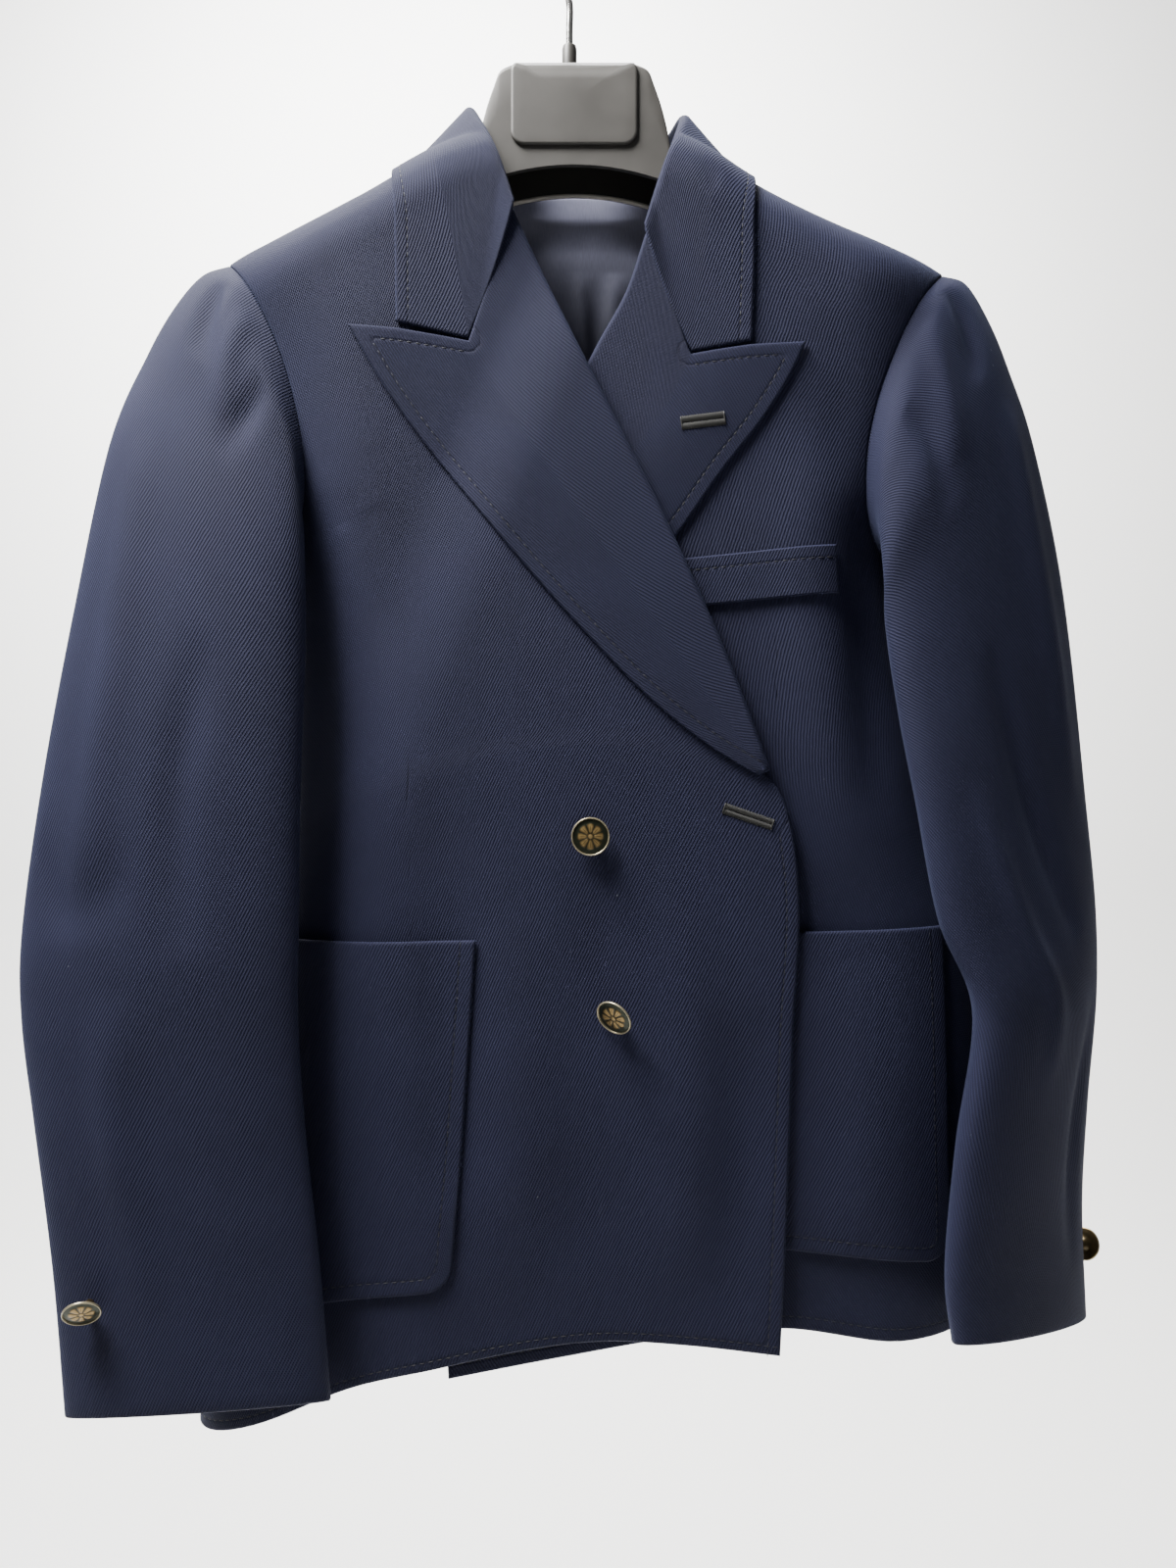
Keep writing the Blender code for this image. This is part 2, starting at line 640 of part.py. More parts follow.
def make_lapel(name, roll, edge, top, facets, height_of, cloth):
    """A turned lapel: a half-round roll along the roll line, then a flat leaf on the front."""
    down = np.linspace(0, 1, LAPEL_ROWS)
    across = np.linspace(0, 1, LAPEL_COLUMNS)
    roll_line, edge_line = curve(roll, down), curve(edge, down)
    top_line = through(top, LAPEL_COLUMNS)
    a, t = across[None, :, None], down[:, None, None]
    bottom_line = roll_line[-1] + (edge_line[-1] - roll_line[-1]) * across[:, None]
    corners = (
        (1 - a) * (1 - t) * roll_line[0]
        + a * (1 - t) * edge_line[0]
        + (1 - a) * t * roll_line[-1]
        + a * t * edge_line[-1]
    )
    flat = (
        (1 - a) * roll_line[:, None]
        + a * edge_line[:, None]
        + (1 - t) * top_line[None]
        + t * bottom_line[None]
        - corners
    )
    toward = flat[:, 2] - flat[:, 0]
    toward /= np.linalg.norm(toward, axis=-1, keepdims=True)
    outer_columns, inner_columns = [], []
    for angle in np.radians(ROLL_TURNS):
        for radius, columns_made in ((ROLL_RADIUS, outer_columns), (ROLL_RADIUS - WALL, inner_columns)):
            place = roll_line + toward * (ROLL_RADIUS - radius * math.cos(angle))
            height = height_of(*roll_line.T) - WALL / 2 + radius * math.sin(angle)
            columns_made.append(on_body(place[:, 0], place[:, 1], -1, height)[0])
    flat[:, 0] = roll_line + toward * ROLL_RADIUS
    top_of_roll = ROLL_RADIUS - WALL / 2
    for column in range(LAPEL_COLUMNS):
        x, z = flat[:, column].T
        outer_columns.append(on_facets(facets, x, z, height_of, top_of_roll + LAID_MARGIN)[0])
        inner_columns.append(on_facets(facets, x, z, height_of, top_of_roll + LAID_MARGIN - WALL)[0])
    wall_between(name, np.stack(outer_columns, axis=1), np.stack(inner_columns, axis=1), cloth)


def make_collar(cloth):
    """Stand, fold and fall in one wall, its section carried round the neck."""
    count = COLLAR_SECTIONS
    rows = smooth_table(COLLAR_ROWS, count)
    fold, neck, edge = rows[:, 0:3], rows[:, 3:6], rows[:, 6:9]
    reach = edge - fold
    reach /= np.linalg.norm(reach, axis=1, keepdims=True)
    normals, _ = outward(0.5 * (fold + edge), 0)
    lift = normals - np.sum(normals * reach, axis=1, keepdims=True) * reach
    lift /= np.linalg.norm(lift, axis=1, keepdims=True)
    centre = fold + ROLL_RADIUS * reach
    stand_top = centre - ROLL_RADIUS * lift
    columns = [neck, 0.5 * (neck + stand_top)]
    for angle in np.radians((*ROLL_TURNS, 90)):
        columns.append(centre + ROLL_RADIUS * (math.sin(angle) * lift - math.cos(angle) * reach))
    start = columns[-1]
    leaf = np.linspace(0, 1, COLLAR_LEAF_COLUMNS + 1)[1:]
    for share in leaf:
        columns.append(start + (edge - start) * share)
    grid = np.stack(columns, axis=1)
    first_leaf = grid.shape[1] - COLLAR_LEAF_COLUMNS
    for end, corner, first in ((0, RIGHT_GORGE_CORNER, 0), (count - 1, LEFT_GORGE_CORNER, count - 1)):
        seam = through([tuple(start[end]), corner, tuple(edge[end])], COLLAR_LEAF_COLUMNS + 1)[1:]
        straight = start[end] + (edge[end] - start[end]) * leaf[:, None]
        for row in range(count):
            share = ease(1 - abs(row - first) / COLLAR_END_SECTIONS)
            grid[row, first_leaf:] += share * (seam - straight)
    fall = slice(first_leaf - 1, None)
    grid[:, fall] = laid_clear(grid[:, fall], WALL + COLLAR_CLEARANCE)
    normals = grid_normals(grid)
    middle = normals[count // 2, -1]
    if middle[1] < 0:
        normals = -normals
    wall_between("collar", grid, grid - WALL * normals, cloth)


def armhole_loop(armhole, side, angles):
    """The armhole's loop at the ring angles: down the front, round the underarm, up the back."""
    arc = curve(armhole, np.linspace(0, 1, 60))
    front, front_normals = on_body(arc[:, 0], arc[:, 1], -1)
    back, back_normals = on_body(arc[:, 0], arc[:, 1], 1)
    loop = np.concatenate([front, back[::-1]])
    normals = np.concatenate([front_normals, back_normals[::-1]])
    fold = FOLD_PLACE_ON_ARMHOLE / 2
    place = np.interp(angles, [0, math.pi, 2 * math.pi], [0, fold, 1])
    steps = np.linalg.norm(np.diff(loop, axis=0), axis=1)
    along = np.concatenate([[0.0], np.cumsum(steps)]) / steps.sum()
    points = np.stack([np.interp(place, along, loop[:, k]) for k in range(3)], axis=-1)
    directions = np.stack([np.interp(place, along, normals[:, k]) for k in range(3)], axis=-1)
    return points, directions / np.linalg.norm(directions, axis=-1, keepdims=True)


def make_sleeve(name, armhole, side, table, cloth):
    """A two-piece sleeve: rings from the armhole to the cuff, cut along two seams."""
    rings = smooth_table(table, SLEEVE_RINGS)
    angles = np.linspace(0, 2 * math.pi, SLEEVE_AROUND + 1)
    loop, loop_normals = armhole_loop(armhole, side, angles)
    grids = []
    for place, ring in enumerate(rings):
        outer_fold, inner_fold, half, share = ring[0:3], ring[3:6], ring[6], ring[7]
        axis = outer_fold - inner_fold
        front = np.array((0.0, -1.0, 0.0))
        front -= axis * (front @ axis) / (axis @ axis)
        front /= np.linalg.norm(front)
        section = (
            0.5 * (outer_fold + inner_fold)
            + 0.5 * axis * np.cos(angles)[:, None]
            + half * front * np.sin(angles)[:, None]
        )
        down = place / (SLEEVE_RINGS - 1)
        section[:, 2] += CUFF_LIFT * down**CUFF_LIFT_POWER * np.sin(angles)
        grids.append((section, share))
    base = grids[0][0]
    grid = np.stack([section + share * (loop - base) for section, share in grids])
    beside = np.exp(-(((angles - UNDERARM_ANGLE) / UNDERARM_SPREAD) ** 2))
    for ring in range(1, LAID_RINGS):
        height = (WALL + SLEEVE_CLEARANCE) * np.maximum(ease(ring / LAID_RING_BLEND), beside)
        grid[ring] = laid_clear(grid[ring], height)
    away = np.cross(np.gradient(loop, axis=0), loop_normals)
    away /= np.linalg.norm(away, axis=1, keepdims=True)
    away *= np.sign(np.sum(away * (grid[1] - loop)))
    low = np.exp(-(((angles - UNDERARM_ANGLE) / UNDERARM_SEAM_SPREAD) ** 2))
    grid[0] = loop + (SLEEVE_SEAM_GAP * (1 + UNDERARM_SEAM_EXTRA * low))[:, None] * away
    normals = grid_normals(grid)
    ends = normals[:, 0] + normals[:, -1]
    normals[:, 0] = normals[:, -1] = ends / np.linalg.norm(ends, axis=-1, keepdims=True)
    centre = grid.mean(axis=1, keepdims=True)
    if np.sum(normals * (grid - centre)) < 0:
        normals = -normals
    normals[0] = loop_normals
    inner = grid - WALL * normals
    cut_front = int(round((math.pi + SEAM_TURN) / (2 * math.pi) * SLEEVE_AROUND))
    cut_back = SLEEVE_AROUND - 1
    upper = list(range(cut_back, SLEEVE_AROUND)) + list(range(0, cut_front + 1))
    under = list(range(cut_front, cut_back + 1))
    for part, columns in (("upper", upper), ("under", under)):
        outer_part, inner_part = grid[:, columns].copy(), inner[:, columns].copy()
        for this in (outer_part, inner_part):
            for edge, beside in ((0, 1), (-1, -2)):
                inward = this[:, beside] - this[:, edge]
                inward /= np.linalg.norm(inward, axis=1, keepdims=True)
                this[:, edge] += HALF_SEAM * SEAM_PULL * inward
        wall_between(f"{name}_{part}", outer_part, inner_part, cloth)
    return grid, normals


def patch_grid(corners, rows, columns, corner_radius):
    """x and z of a patch between four corners, its two lower corners rounded off."""
    top_left, top_right, low_right, low_left = (np.array(corner) for corner in corners)
    a = np.linspace(0, 1, columns)[None, :, None]
    t = np.linspace(0, 1, rows)[:, None, None]
    grid = (
        (1 - a) * (1 - t) * top_left
        + a * (1 - t) * top_right
        + (1 - a) * t * low_left
        + a * t * low_right
    )
    width = np.linalg.norm(top_right - top_left)
    from_side = np.minimum(a, 1 - a)[..., 0] * width
    short = np.clip(1 - from_side / max(corner_radius, 1e-6), 0, 1)
    lift = corner_radius * (1 - np.sqrt(1 - short**2)) * ease((t[..., 0] - 0.6) / 0.4)
    grid[..., 1] += lift
    return grid


def lay_patch(name, corners, rows, columns, corner_radius, facets, height_of, cloth):
    """A patch laid on a front panel's flat faces."""
    grid = patch_grid(corners, rows, columns, corner_radius)
    stand_off = GAP + LAID_MARGIN
    inner, normals = on_facets(facets, grid[..., 0], grid[..., 1], height_of, stand_off)
    wall_between(name, inner + WALL * normals, inner, cloth)


def no_height(x, z):
    return np.zeros(np.shape(x))


def make_lining(lining):
    """The lining seen in the neck: a leaf inside the back, standing up behind the hanger's head."""
    a = np.linspace(-1, 1, LINING_COLUMNS)[None, :]
    t = np.linspace(0, 1, LINING_ROWS)[:, None] ** LINING_ROW_POWER
    z = LINING_TOP_Z + (LINING_BOTTOM_Z - LINING_TOP_Z) * t + 0 * a
    risen = ease((z - 2 * LINING_BEND_Z + LINING_TOP_Z) / (2 * (LINING_TOP_Z - LINING_BEND_Z)))
    x = BACK_CENTRE_X + 0.5 * LINING_WIDTH * a * (1 - LINING_NARROWING * risen)
    form_z = np.minimum(z, LINING_BEND_Z)
    outer, normals = on_body(x, form_z, 1, np.full(x.shape, -WALL - LINING_CLEARANCE))
    outer[..., 2] += z - form_z
    outer[..., 1] -= LINING_BOW * risen * a**2
    wall_between("lining_back", outer, outer - LINING_WALL * normals, lining)


def across_axis(axis):
    """The axis at unit length, and two directions square to it and to each other."""
    axis = np.asarray(axis, float) / np.linalg.norm(axis)
    helper = np.array((0.0, 0.0, 1.0)) if abs(axis[2]) < 0.9 else np.array((1.0, 0.0, 0.0))
    first = np.cross(helper, axis)
    first /= np.linalg.norm(first)
    return axis, first, np.cross(axis, first)


def turned(name, rings, sides, finish):
    """A round solid through rings, each a centre, an axis and a radius, with flat ends."""
    turns = np.arange(sides) * 2 * math.pi / sides
    points = []
    for centre, axis, radius in rings:
        _, first, second = across_axis(axis)
        spokes = np.cos(turns)[:, None] * first + np.sin(turns)[:, None] * second
        points.append(np.asarray(centre) + radius * spokes)
    faces = []
    for ring in range(len(rings) - 1):
        for here in range(sides):
            there = (here + 1) % sides
            low, high = ring * sides, (ring + 1) * sides
            faces.append([low + here, low + there, high + there, high + here])
    faces.append(list(range(sides))[::-1])
    last = (len(rings) - 1) * sides
    faces.append([last + here for here in range(sides)])
    return add_object(name, np.concatenate(points), faces, finish, 50)


def leaning(normal, lean):
    """A direction off the cloth, leaned to the side and up by two angles in degrees."""
    normal = np.asarray(normal, float) / np.linalg.norm(normal)
    side = np.cross(normal, (0.0, 0.0, 1.0))
    side /= np.linalg.norm(side)
    up = np.cross(side, normal)
    across, rise = np.tan(np.radians(lean))
    axis = normal + across * side + rise * up
    return axis / np.linalg.norm(axis)


def button(name, place, normal, lean, radius, brass):
    """A shank button: a neck out of the cloth, then a turned rim and a low dome that may lean."""
    axis = leaning(normal, lean)
    shank = LONG_SHANK_LENGTH if any(lean) else SHANK_LENGTH
    head = np.asarray(place) + (GAP + shank) * normal
    rings = [(place + GAP * normal, normal, SHANK_RADIUS), (head, normal + axis, SHANK_RADIUS)]
    rim = BUTTON_BACK_RISE + BUTTON_RIM
    for share, height in (
        (0.72, 0.0004),
        (0.95, BUTTON_BACK_RISE),
        (1.0, BUTTON_BACK_RISE + 0.5 * BUTTON_RIM),
        (0.95, rim),
        (0.84, rim),
        (0.78, rim - 0.4 * BUTTON_RIM),
        (0.45, rim - 0.4 * BUTTON_RIM + 0.7 * BUTTON_DOME),
        (0.12, rim - 0.4 * BUTTON_RIM + BUTTON_DOME),
    ):
        rings.append((head + height * axis, axis, share * radius))
    turned(name, rings, BUTTON_SIDES, brass)


def make_front_buttons(brass):
    for name, place, lean in (
        ("front_button_upper", UPPER_BUTTON_PLACE, UPPER_BUTTON_LEAN),
        ("front_button_lower", LOWER_BUTTON_PLACE, LOWER_BUTTON_LEAN),
    ):
        x, z = np.array([place[0]]), np.array([place[1]])
        points, normals = on_body(x, z, -1, overlap_height(x, z) + BUTTON_STAND_OFF)
        button(name, points[0], normals[0], lean, BUTTON_RADIUS, brass)


def make_cuff_button(name, grid, normals, spot, lean, brass):
    """A button on a sleeve, at a share of its length and of the turn round it."""
    down, turn = spot
    ring = down * (len(grid) - 1)
    low, share = int(ring), ring % 1
    columns = np.arange(grid.shape[1]) / (grid.shape[1] - 1)
    found = []
    for table in (grid, normals):
        row = (1 - share) * table[low] + share * table[low + 1]
        found.append(np.array([np.interp(turn, columns, row[:, k]) for k in range(3)]))
    place, normal = found
    normal /= np.linalg.norm(normal)
    button(name, place + BUTTON_STAND_OFF * normal, normal, lean, CUFF_BUTTON_RADIUS, brass)


def hanger_section(x, angle, shrink):
    """A point of the hanger's upside-down U at x; the arms follow the inside of the shoulders."""
    from_centre = abs(x - HANGER_CENTRE_X)
    widths, heights = np.asarray(HANGER_TOP).T
    arm_share = float(ease((from_centre - ARM_START) / ARM_BLEND))
    top = np.interp(from_centre, widths, heights)
    head = np.array(
        (
            x,
            (HEAD_HALF_DEPTH - shrink) * math.sin(angle),
            top - shrink - (HEAD_ROUND - 0.3 * shrink) * (1 - math.cos(angle)),
        )
    )
    side = -1 if angle < 0 else 1
    below = SHOULDER_ROUND * (1 - math.cos(angle))
    inset = WALL + HANGER_CLEARANCE + shrink
    level = shoulder_z(np.array([x])) - min(below, HANGER_ARM_DROP)
    arm = on_body(np.array([x]), level, side, -inset)[0][0]
    arm[0] = x
    if angle == 0:
        arm[1] = 0.0
    return (1 - arm_share) * head + arm_share * arm, arm_share


def make_hanger(plastic, steel):
    """A hollow moulding, open underneath: its section is an upside-down U along both arms."""
    reach = ARM_START + 0.5 * ARM_BLEND
    right = np.linspace(HANGER_RIGHT_END, HANGER_CENTRE_X - reach, HANGER_ARM_PLACES)
    left = np.linspace(HANGER_CENTRE_X + reach, HANGER_LEFT_END, HANGER_ARM_PLACES)
    widths = np.array([width for width, _ in HANGER_TOP if width < reach - 0.003])
    head = HANGER_CENTRE_X + np.concatenate([-widths[:0:-1], widths])
    grids = []
    for shrink in (0.0, PLASTIC):
        rows = []
        for x in np.concatenate([right, head, left]):
            from_centre = abs(x - HANGER_CENTRE_X)
            section = []
            for angle in np.radians(range(-90, 91, HANGER_SECTION_STEP)):
                section.append(hanger_section(float(x), float(angle), shrink))
            arm_share = section[0][1]
            arch = ARCH_Z - ARCH_FALL * (from_centre / ARM_START) ** 2
            arm_bottom = float(shoulder_z(np.array([x]))[0]) - HANGER_ARM_DROP - HANGER_LIP
            bottom = (1 - arm_share) * arch + arm_share * arm_bottom
            points = [point for point, _ in section]
            ends = [points[0].copy(), points[-1].copy()]
            for end in ends:
                end[2] = bottom
            rows.append([ends[0], *points, ends[1]])
        grids.append(np.array(rows))
    wall_between("hanger_body", grids[0], grids[1], plastic)
    make_plate(plastic)
    make_hook(plastic, steel)


def make_plate(plastic):
    """The raised rounded panel on the front of the hanger's head."""
    front = -(HEAD_HALF_DEPTH + GAP)
    outline = []
    for turn in range(0, 360, 30):
        angle = math.radians(turn + 15)
        x = math.copysign(PLATE_HALF_WIDTH - PLATE_CORNER, math.cos(angle)) + PLATE_CORNER * math.cos(angle)
        z = math.copysign(PLATE_HEIGHT / 2 - PLATE_CORNER, math.sin(angle)) + PLATE_CORNER * math.sin(angle)
        outline.append((HANGER_CENTRE_X + x, PLATE_TOP_Z - PLATE_HEIGHT / 2 + z))
    count = len(outline)
    middle_x, middle_z = np.mean(outline, axis=0)
    points = []
    for depth, keep in ((0.0, 1.0), (0.6 * PLATE_THICKNESS, 1.0), (PLATE_THICKNESS, 0.96)):
        for x, z in outline:
            points.append((middle_x + keep * (x - middle_x), front - depth, middle_z + keep * (z - middle_z)))
    faces = [list(range(count)), [2 * count + k for k in range(count)][::-1]]
    for ring in range(2):
        for here in range(count):
            there = (here + 1) % count
            low, high = ring * count, (ring + 1) * count
            faces.append([low + here, low + there, high + there, high + here])
    add_object("hanger_plate", points, faces, plastic)


def make_hook(plastic, steel):
    """A steel wire hook: a straight stem, an easy bend to the left, and a near-full turn."""
    centre = np.array((0.0, 0.0, -(HOOK_BEND_RADIUS - WIRE_RADIUS)))
    turn = np.radians(np.linspace(HOOK_TURN_START, HOOK_TURN_END, HOOK_TURN_POINTS))
    arc = np.stack(
        [
            centre[0] + HOOK_BEND_RADIUS * np.cos(turn),
            np.zeros(len(turn)),
            centre[2] + HOOK_BEND_RADIUS * np.sin(turn),
        ],
        axis=-1,
    )
    seat_z = HEAD_TOP_Z + GAP
    ferrule = []
    for radius, share in (
        (FERRULE_RADIUS, 0.0),
        (FERRULE_RADIUS, 0.6),
        (0.75 * FERRULE_RADIUS, 0.9),
        (WIRE_RADIUS, 1.0),
    ):
        ferrule.append(((HOOK_STEM_X, 0.0, seat_z + share * FERRULE_HEIGHT), (0, 0, 1), radius))
    turned("hook_ferrule", ferrule, BUTTON_SIDES, plastic)
    stem_foot = (HOOK_STEM_X, 0.0, seat_z + FERRULE_HEIGHT + GAP)
    stem_top = (HOOK_STEM_X, 0.0, HOOK_STEM_TOP_Z)
    bend = (HOOK_STEM_X + HOOK_BEND_OFFSET, 0.0, HOOK_STEM_TOP_Z + HOOK_BEND_RISE)
    path = [stem_foot, stem_top, bend, *[tuple(point) for point in arc]]
    made = bpy.data.curves.new("hanger_hook", "CURVE")
    made.dimensions = "3D"
    made.bevel_depth = WIRE_RADIUS
    made.bevel_resolution = 2
    made.use_fill_caps = True
    line = made.splines.new("POLY")
    line.points.add(len(path) - 1)
    for point, place in zip(line.points, path):
        point.co = (*place, 1.0)
    hook = bpy.data.objects.new("hanger_hook", made)
    made.materials.append(steel)
    bpy.context.scene.collection.objects.link(hook)


def main():
    for old in list(bpy.data.objects):
        bpy.data.objects.remove(old)
    cloth = material("navy_twill", (0.020, 0.026, 0.060), 0.85)
    lining = material("lining_satin", (0.075, 0.080, 0.110), 0.45)
    brass = material("antique_brass", (0.36, 0.26, 0.11), 0.42, 0.9)
    plastic = material("grey_plastic", (0.105, 0.098, 0.088), 0.55)
    steel = material("chromed_wire", (0.62, 0.62, 0.62), 0.22, 1.0)
    over, under = make_fronts(cloth)
    make_back(cloth)
    lapel = (RIGHT_ROLL, RIGHT_LAPEL_EDGE, RIGHT_LAPEL_TOP, over, overlap_height)
    make_lapel("lapel_right", *lapel, cloth)
    lapel = (LEFT_ROLL, LEFT_LAPEL_EDGE, LEFT_LAPEL_TOP, under, no_height)
    make_lapel("lapel_left", *lapel, cloth)
    make_collar(cloth)
    right_grid, right_normals = make_sleeve("sleeve_right", ARMHOLE_RIGHT, 1, RIGHT_SLEEVE, cloth)
    left_grid, left_normals = make_sleeve("sleeve_left", ARMHOLE_LEFT, 2, LEFT_SLEEVE, cloth)
    counts = (POCKET_ROWS, POCKET_COLUMNS, POCKET_CORNER)
    lay_patch("pocket_right", RIGHT_POCKET, *counts, over, overlap_height, cloth)
    lay_patch("pocket_left", LEFT_POCKET, *counts, under, no_height, cloth)
    lay_patch("breast_welt", BREAST_WELT, WELT_ROWS, WELT_COLUMNS, 0.0, under, no_height, cloth)
    make_lining(lining)
    make_front_buttons(brass)
    placed = (RIGHT_CUFF_BUTTON_SPOT, RIGHT_CUFF_BUTTON_LEAN)
    make_cuff_button("cuff_button_right", right_grid, right_normals, *placed, brass)
    placed = (LEFT_CUFF_BUTTON_SPOT, LEFT_CUFF_BUTTON_LEAN)
    make_cuff_button("cuff_button_left", left_grid, left_normals, *placed, brass)
    make_hanger(plastic, steel)


main()
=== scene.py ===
"""Looks for the boy's double-breasted jacket on its hanger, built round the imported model.

Metres, +Z up, the front faces -Y and +X is the wearer's left. The origin is the inner top of the
hanger's hook. Cloth is worked out again on finer grids from the sizes of the cut, with its folds,
stitching and weave, and each piece stands for the plain solid of the same name.
"""

import json
import math

import bmesh
import bpy
import numpy as np
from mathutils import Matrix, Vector

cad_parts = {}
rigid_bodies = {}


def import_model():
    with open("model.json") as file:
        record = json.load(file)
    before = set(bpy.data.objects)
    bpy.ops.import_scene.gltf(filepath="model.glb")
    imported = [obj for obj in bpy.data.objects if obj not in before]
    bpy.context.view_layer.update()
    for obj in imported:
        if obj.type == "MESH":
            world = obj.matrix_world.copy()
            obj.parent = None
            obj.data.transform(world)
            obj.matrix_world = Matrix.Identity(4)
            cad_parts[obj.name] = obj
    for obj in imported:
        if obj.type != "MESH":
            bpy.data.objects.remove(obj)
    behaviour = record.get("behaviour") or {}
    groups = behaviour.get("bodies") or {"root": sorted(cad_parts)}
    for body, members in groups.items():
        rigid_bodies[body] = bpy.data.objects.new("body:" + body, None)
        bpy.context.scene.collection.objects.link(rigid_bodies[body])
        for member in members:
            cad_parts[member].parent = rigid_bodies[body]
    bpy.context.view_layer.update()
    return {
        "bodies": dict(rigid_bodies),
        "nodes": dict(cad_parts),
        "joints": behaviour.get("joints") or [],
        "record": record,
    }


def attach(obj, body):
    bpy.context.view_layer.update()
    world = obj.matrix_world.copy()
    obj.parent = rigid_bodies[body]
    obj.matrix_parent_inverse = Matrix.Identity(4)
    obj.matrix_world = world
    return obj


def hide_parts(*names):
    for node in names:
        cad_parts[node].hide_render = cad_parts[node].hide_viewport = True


bl_info = {
    "name": "Jacket on a hanger",
    "version": (1, 0, 0),
    "blender": (4, 5, 0),
    "location": "3D View > Sidebar > Jacket",
    "description": "Builds a double-breasted jacket's cloth, buttons and hanger round a packed frame",
    "category": "Object",
}

# Cloth and clearances
WALL = 0.0015
GAP = 0.0003
HALF_SEAM = 0.00015
ROLL_RADIUS = 0.0027
ROLL_INSET = ROLL_RADIUS + GAP
ROLL_TOP_ROW = 4
RIGHT_BREAK_ROW = 11
LEFT_BREAK_ROW = 10
OVERLAP_RISE = 0.0062
OVERLAP_RAMP = 0.045
OVERLAP_START = 0.047

# Body form: half depth, and how far the side and shoulder edges take to reach it
HALF_DEPTH = 0.044
SIDE_ROUND = 0.055
SHOULDER_ROUND = 0.035
FORWARD_LEAN = 0.014
LEAN_TOP_Z = -0.25
HEM_Z = -0.68
HALF_WIDTH = 0.15

# Shoulder seam, x and z, from the wearer's right to the left
SHOULDER_SEAM = (
    (-0.1570, -0.1870),
    (-0.1260, -0.1757),
    (-0.0935, -0.1593),
    (-0.0500, -0.1360),
    (0.0560, -0.1375),
    (0.0790, -0.1522),
    (0.1180, -0.1717),
    (0.1713, -0.1913),
)

# Side seams: height, x of the wearer's right side, x of the left side
SIDE_SEAM = (
    (-0.180, -0.166, 0.180),
    (-0.250, -0.145, 0.163),
    (-0.330, -0.130, 0.148),
    (-0.430, -0.128, 0.166),
    (-0.520, -0.137, 0.190),
    (-0.600, -0.147, 0.191),
    (-0.660, -0.157, 0.185),
    (-0.710, -0.166, 0.182),
)

# Front half of each armhole, x and z, from the shoulder tip to the underarm
ARMHOLE_RIGHT = (
    (-0.1570, -0.1870),
    (-0.1405, -0.2080),
    (-0.1280, -0.2320),
    (-0.1190, -0.2600),
    (-0.1150, -0.2850),
    (-0.1165, -0.3050),
    (-0.1215, -0.3210),
    (-0.1300, -0.3300),
)
ARMHOLE_LEFT = (
    (0.1713, -0.1913),
    (0.1500, -0.2190),
    (0.1400, -0.2400),
    (0.1320, -0.2650),
    (0.1286, -0.2900),
    (0.1300, -0.3080),
    (0.1360, -0.3220),
    (0.1480, -0.3300),
)

# Centre edge of the wearer's right front, x and z: neck, roll line, break, free edge, hem corner
RIGHT_EDGE = (
    (-0.0500, -0.1360),
    (-0.0490, -0.1450),
    (-0.0445, -0.1580),
    (-0.0370, -0.1720),
    (-0.0275, -0.1790),
    (-0.0142, -0.2014),
    (0.0018, -0.2356),
    (0.0162, -0.2644),
    (0.0447, -0.3220),
    (0.0689, -0.3772),
    (0.0852, -0.4215),
    (0.0868, -0.4260),
    (0.0937, -0.4456),
    (0.0961, -0.4662),
    (0.0937, -0.5321),
    (0.0895, -0.6391),
    (0.0880, -0.6660),
)
RIGHT_HEM = (
    (-0.1650, -0.7080),
    (-0.1320, -0.6950),
    (-0.0990, -0.6810),
    (-0.0430, -0.6660),
    (0.0157, -0.6585),
    (0.0500, -0.6610),
    (0.0880, -0.6660),
)

# Centre edge of the wearer's left front, which lies under the right one
LEFT_EDGE = (
    (0.0560, -0.1375),
    (0.0548, -0.1480),
    (0.0508, -0.1620),
    (0.0448, -0.1780),
    (0.0360, -0.1890),
    (0.0234, -0.2170),
    (0.0130, -0.2357),
    (-0.0220, -0.3150),
    (-0.0470, -0.3800),
    (-0.0590, -0.4250),
    (-0.0600, -0.5000),
    (-0.0550, -0.6000),
    (-0.0503, -0.6737),
)
LEFT_HEM = (
    (-0.0503, -0.6737),
    (-0.0050, -0.6660),
    (0.0500, -0.6580),
    (0.0900, -0.6556),
    (0.1400, -0.6626),
    (0.1840, -0.6612),
)
BACK_HEM = ((-0.1650, -0.7060), (0.0040, -0.6740), (0.1840, -0.6620))
BACK_CENTRE_X = 0.0040
NECK_HALF_WIDTH = 0.0530
NECK_LOW_Z = -0.1490

# Lapels: the roll line above the break, the outer edge from the peak down, and the top edge from
# the roll line along the gorge seam to the peak
RIGHT_ROLL = (
    (-0.0240, -0.1800),
    (-0.0142, -0.2014),
    (0.0018, -0.2356),
    (0.0162, -0.2644),
    (0.0447, -0.3220),
    (0.0689, -0.3772),
    (0.0845, -0.4190),
)
RIGHT_LAPEL_EDGE = (
    (-0.0939, -0.2302),
    (-0.0767, -0.2592),
    (-0.0411, -0.3063),
    (0.0027, -0.3575),
    (0.0412, -0.3959),
    (0.0600, -0.4100),
    (0.0790, -0.4215),
)
RIGHT_LAPEL_TOP = ((-0.0240, -0.1800), (-0.0424, -0.2368), (-0.0720, -0.2322), (-0.0939, -0.2302))
LEFT_ROLL = (
    (0.0327, -0.1900),
    (0.0234, -0.2170),
    (0.0130, -0.2357),
    (-0.0220, -0.3150),
    (-0.0470, -0.3800),
    (-0.0570, -0.4170),
)
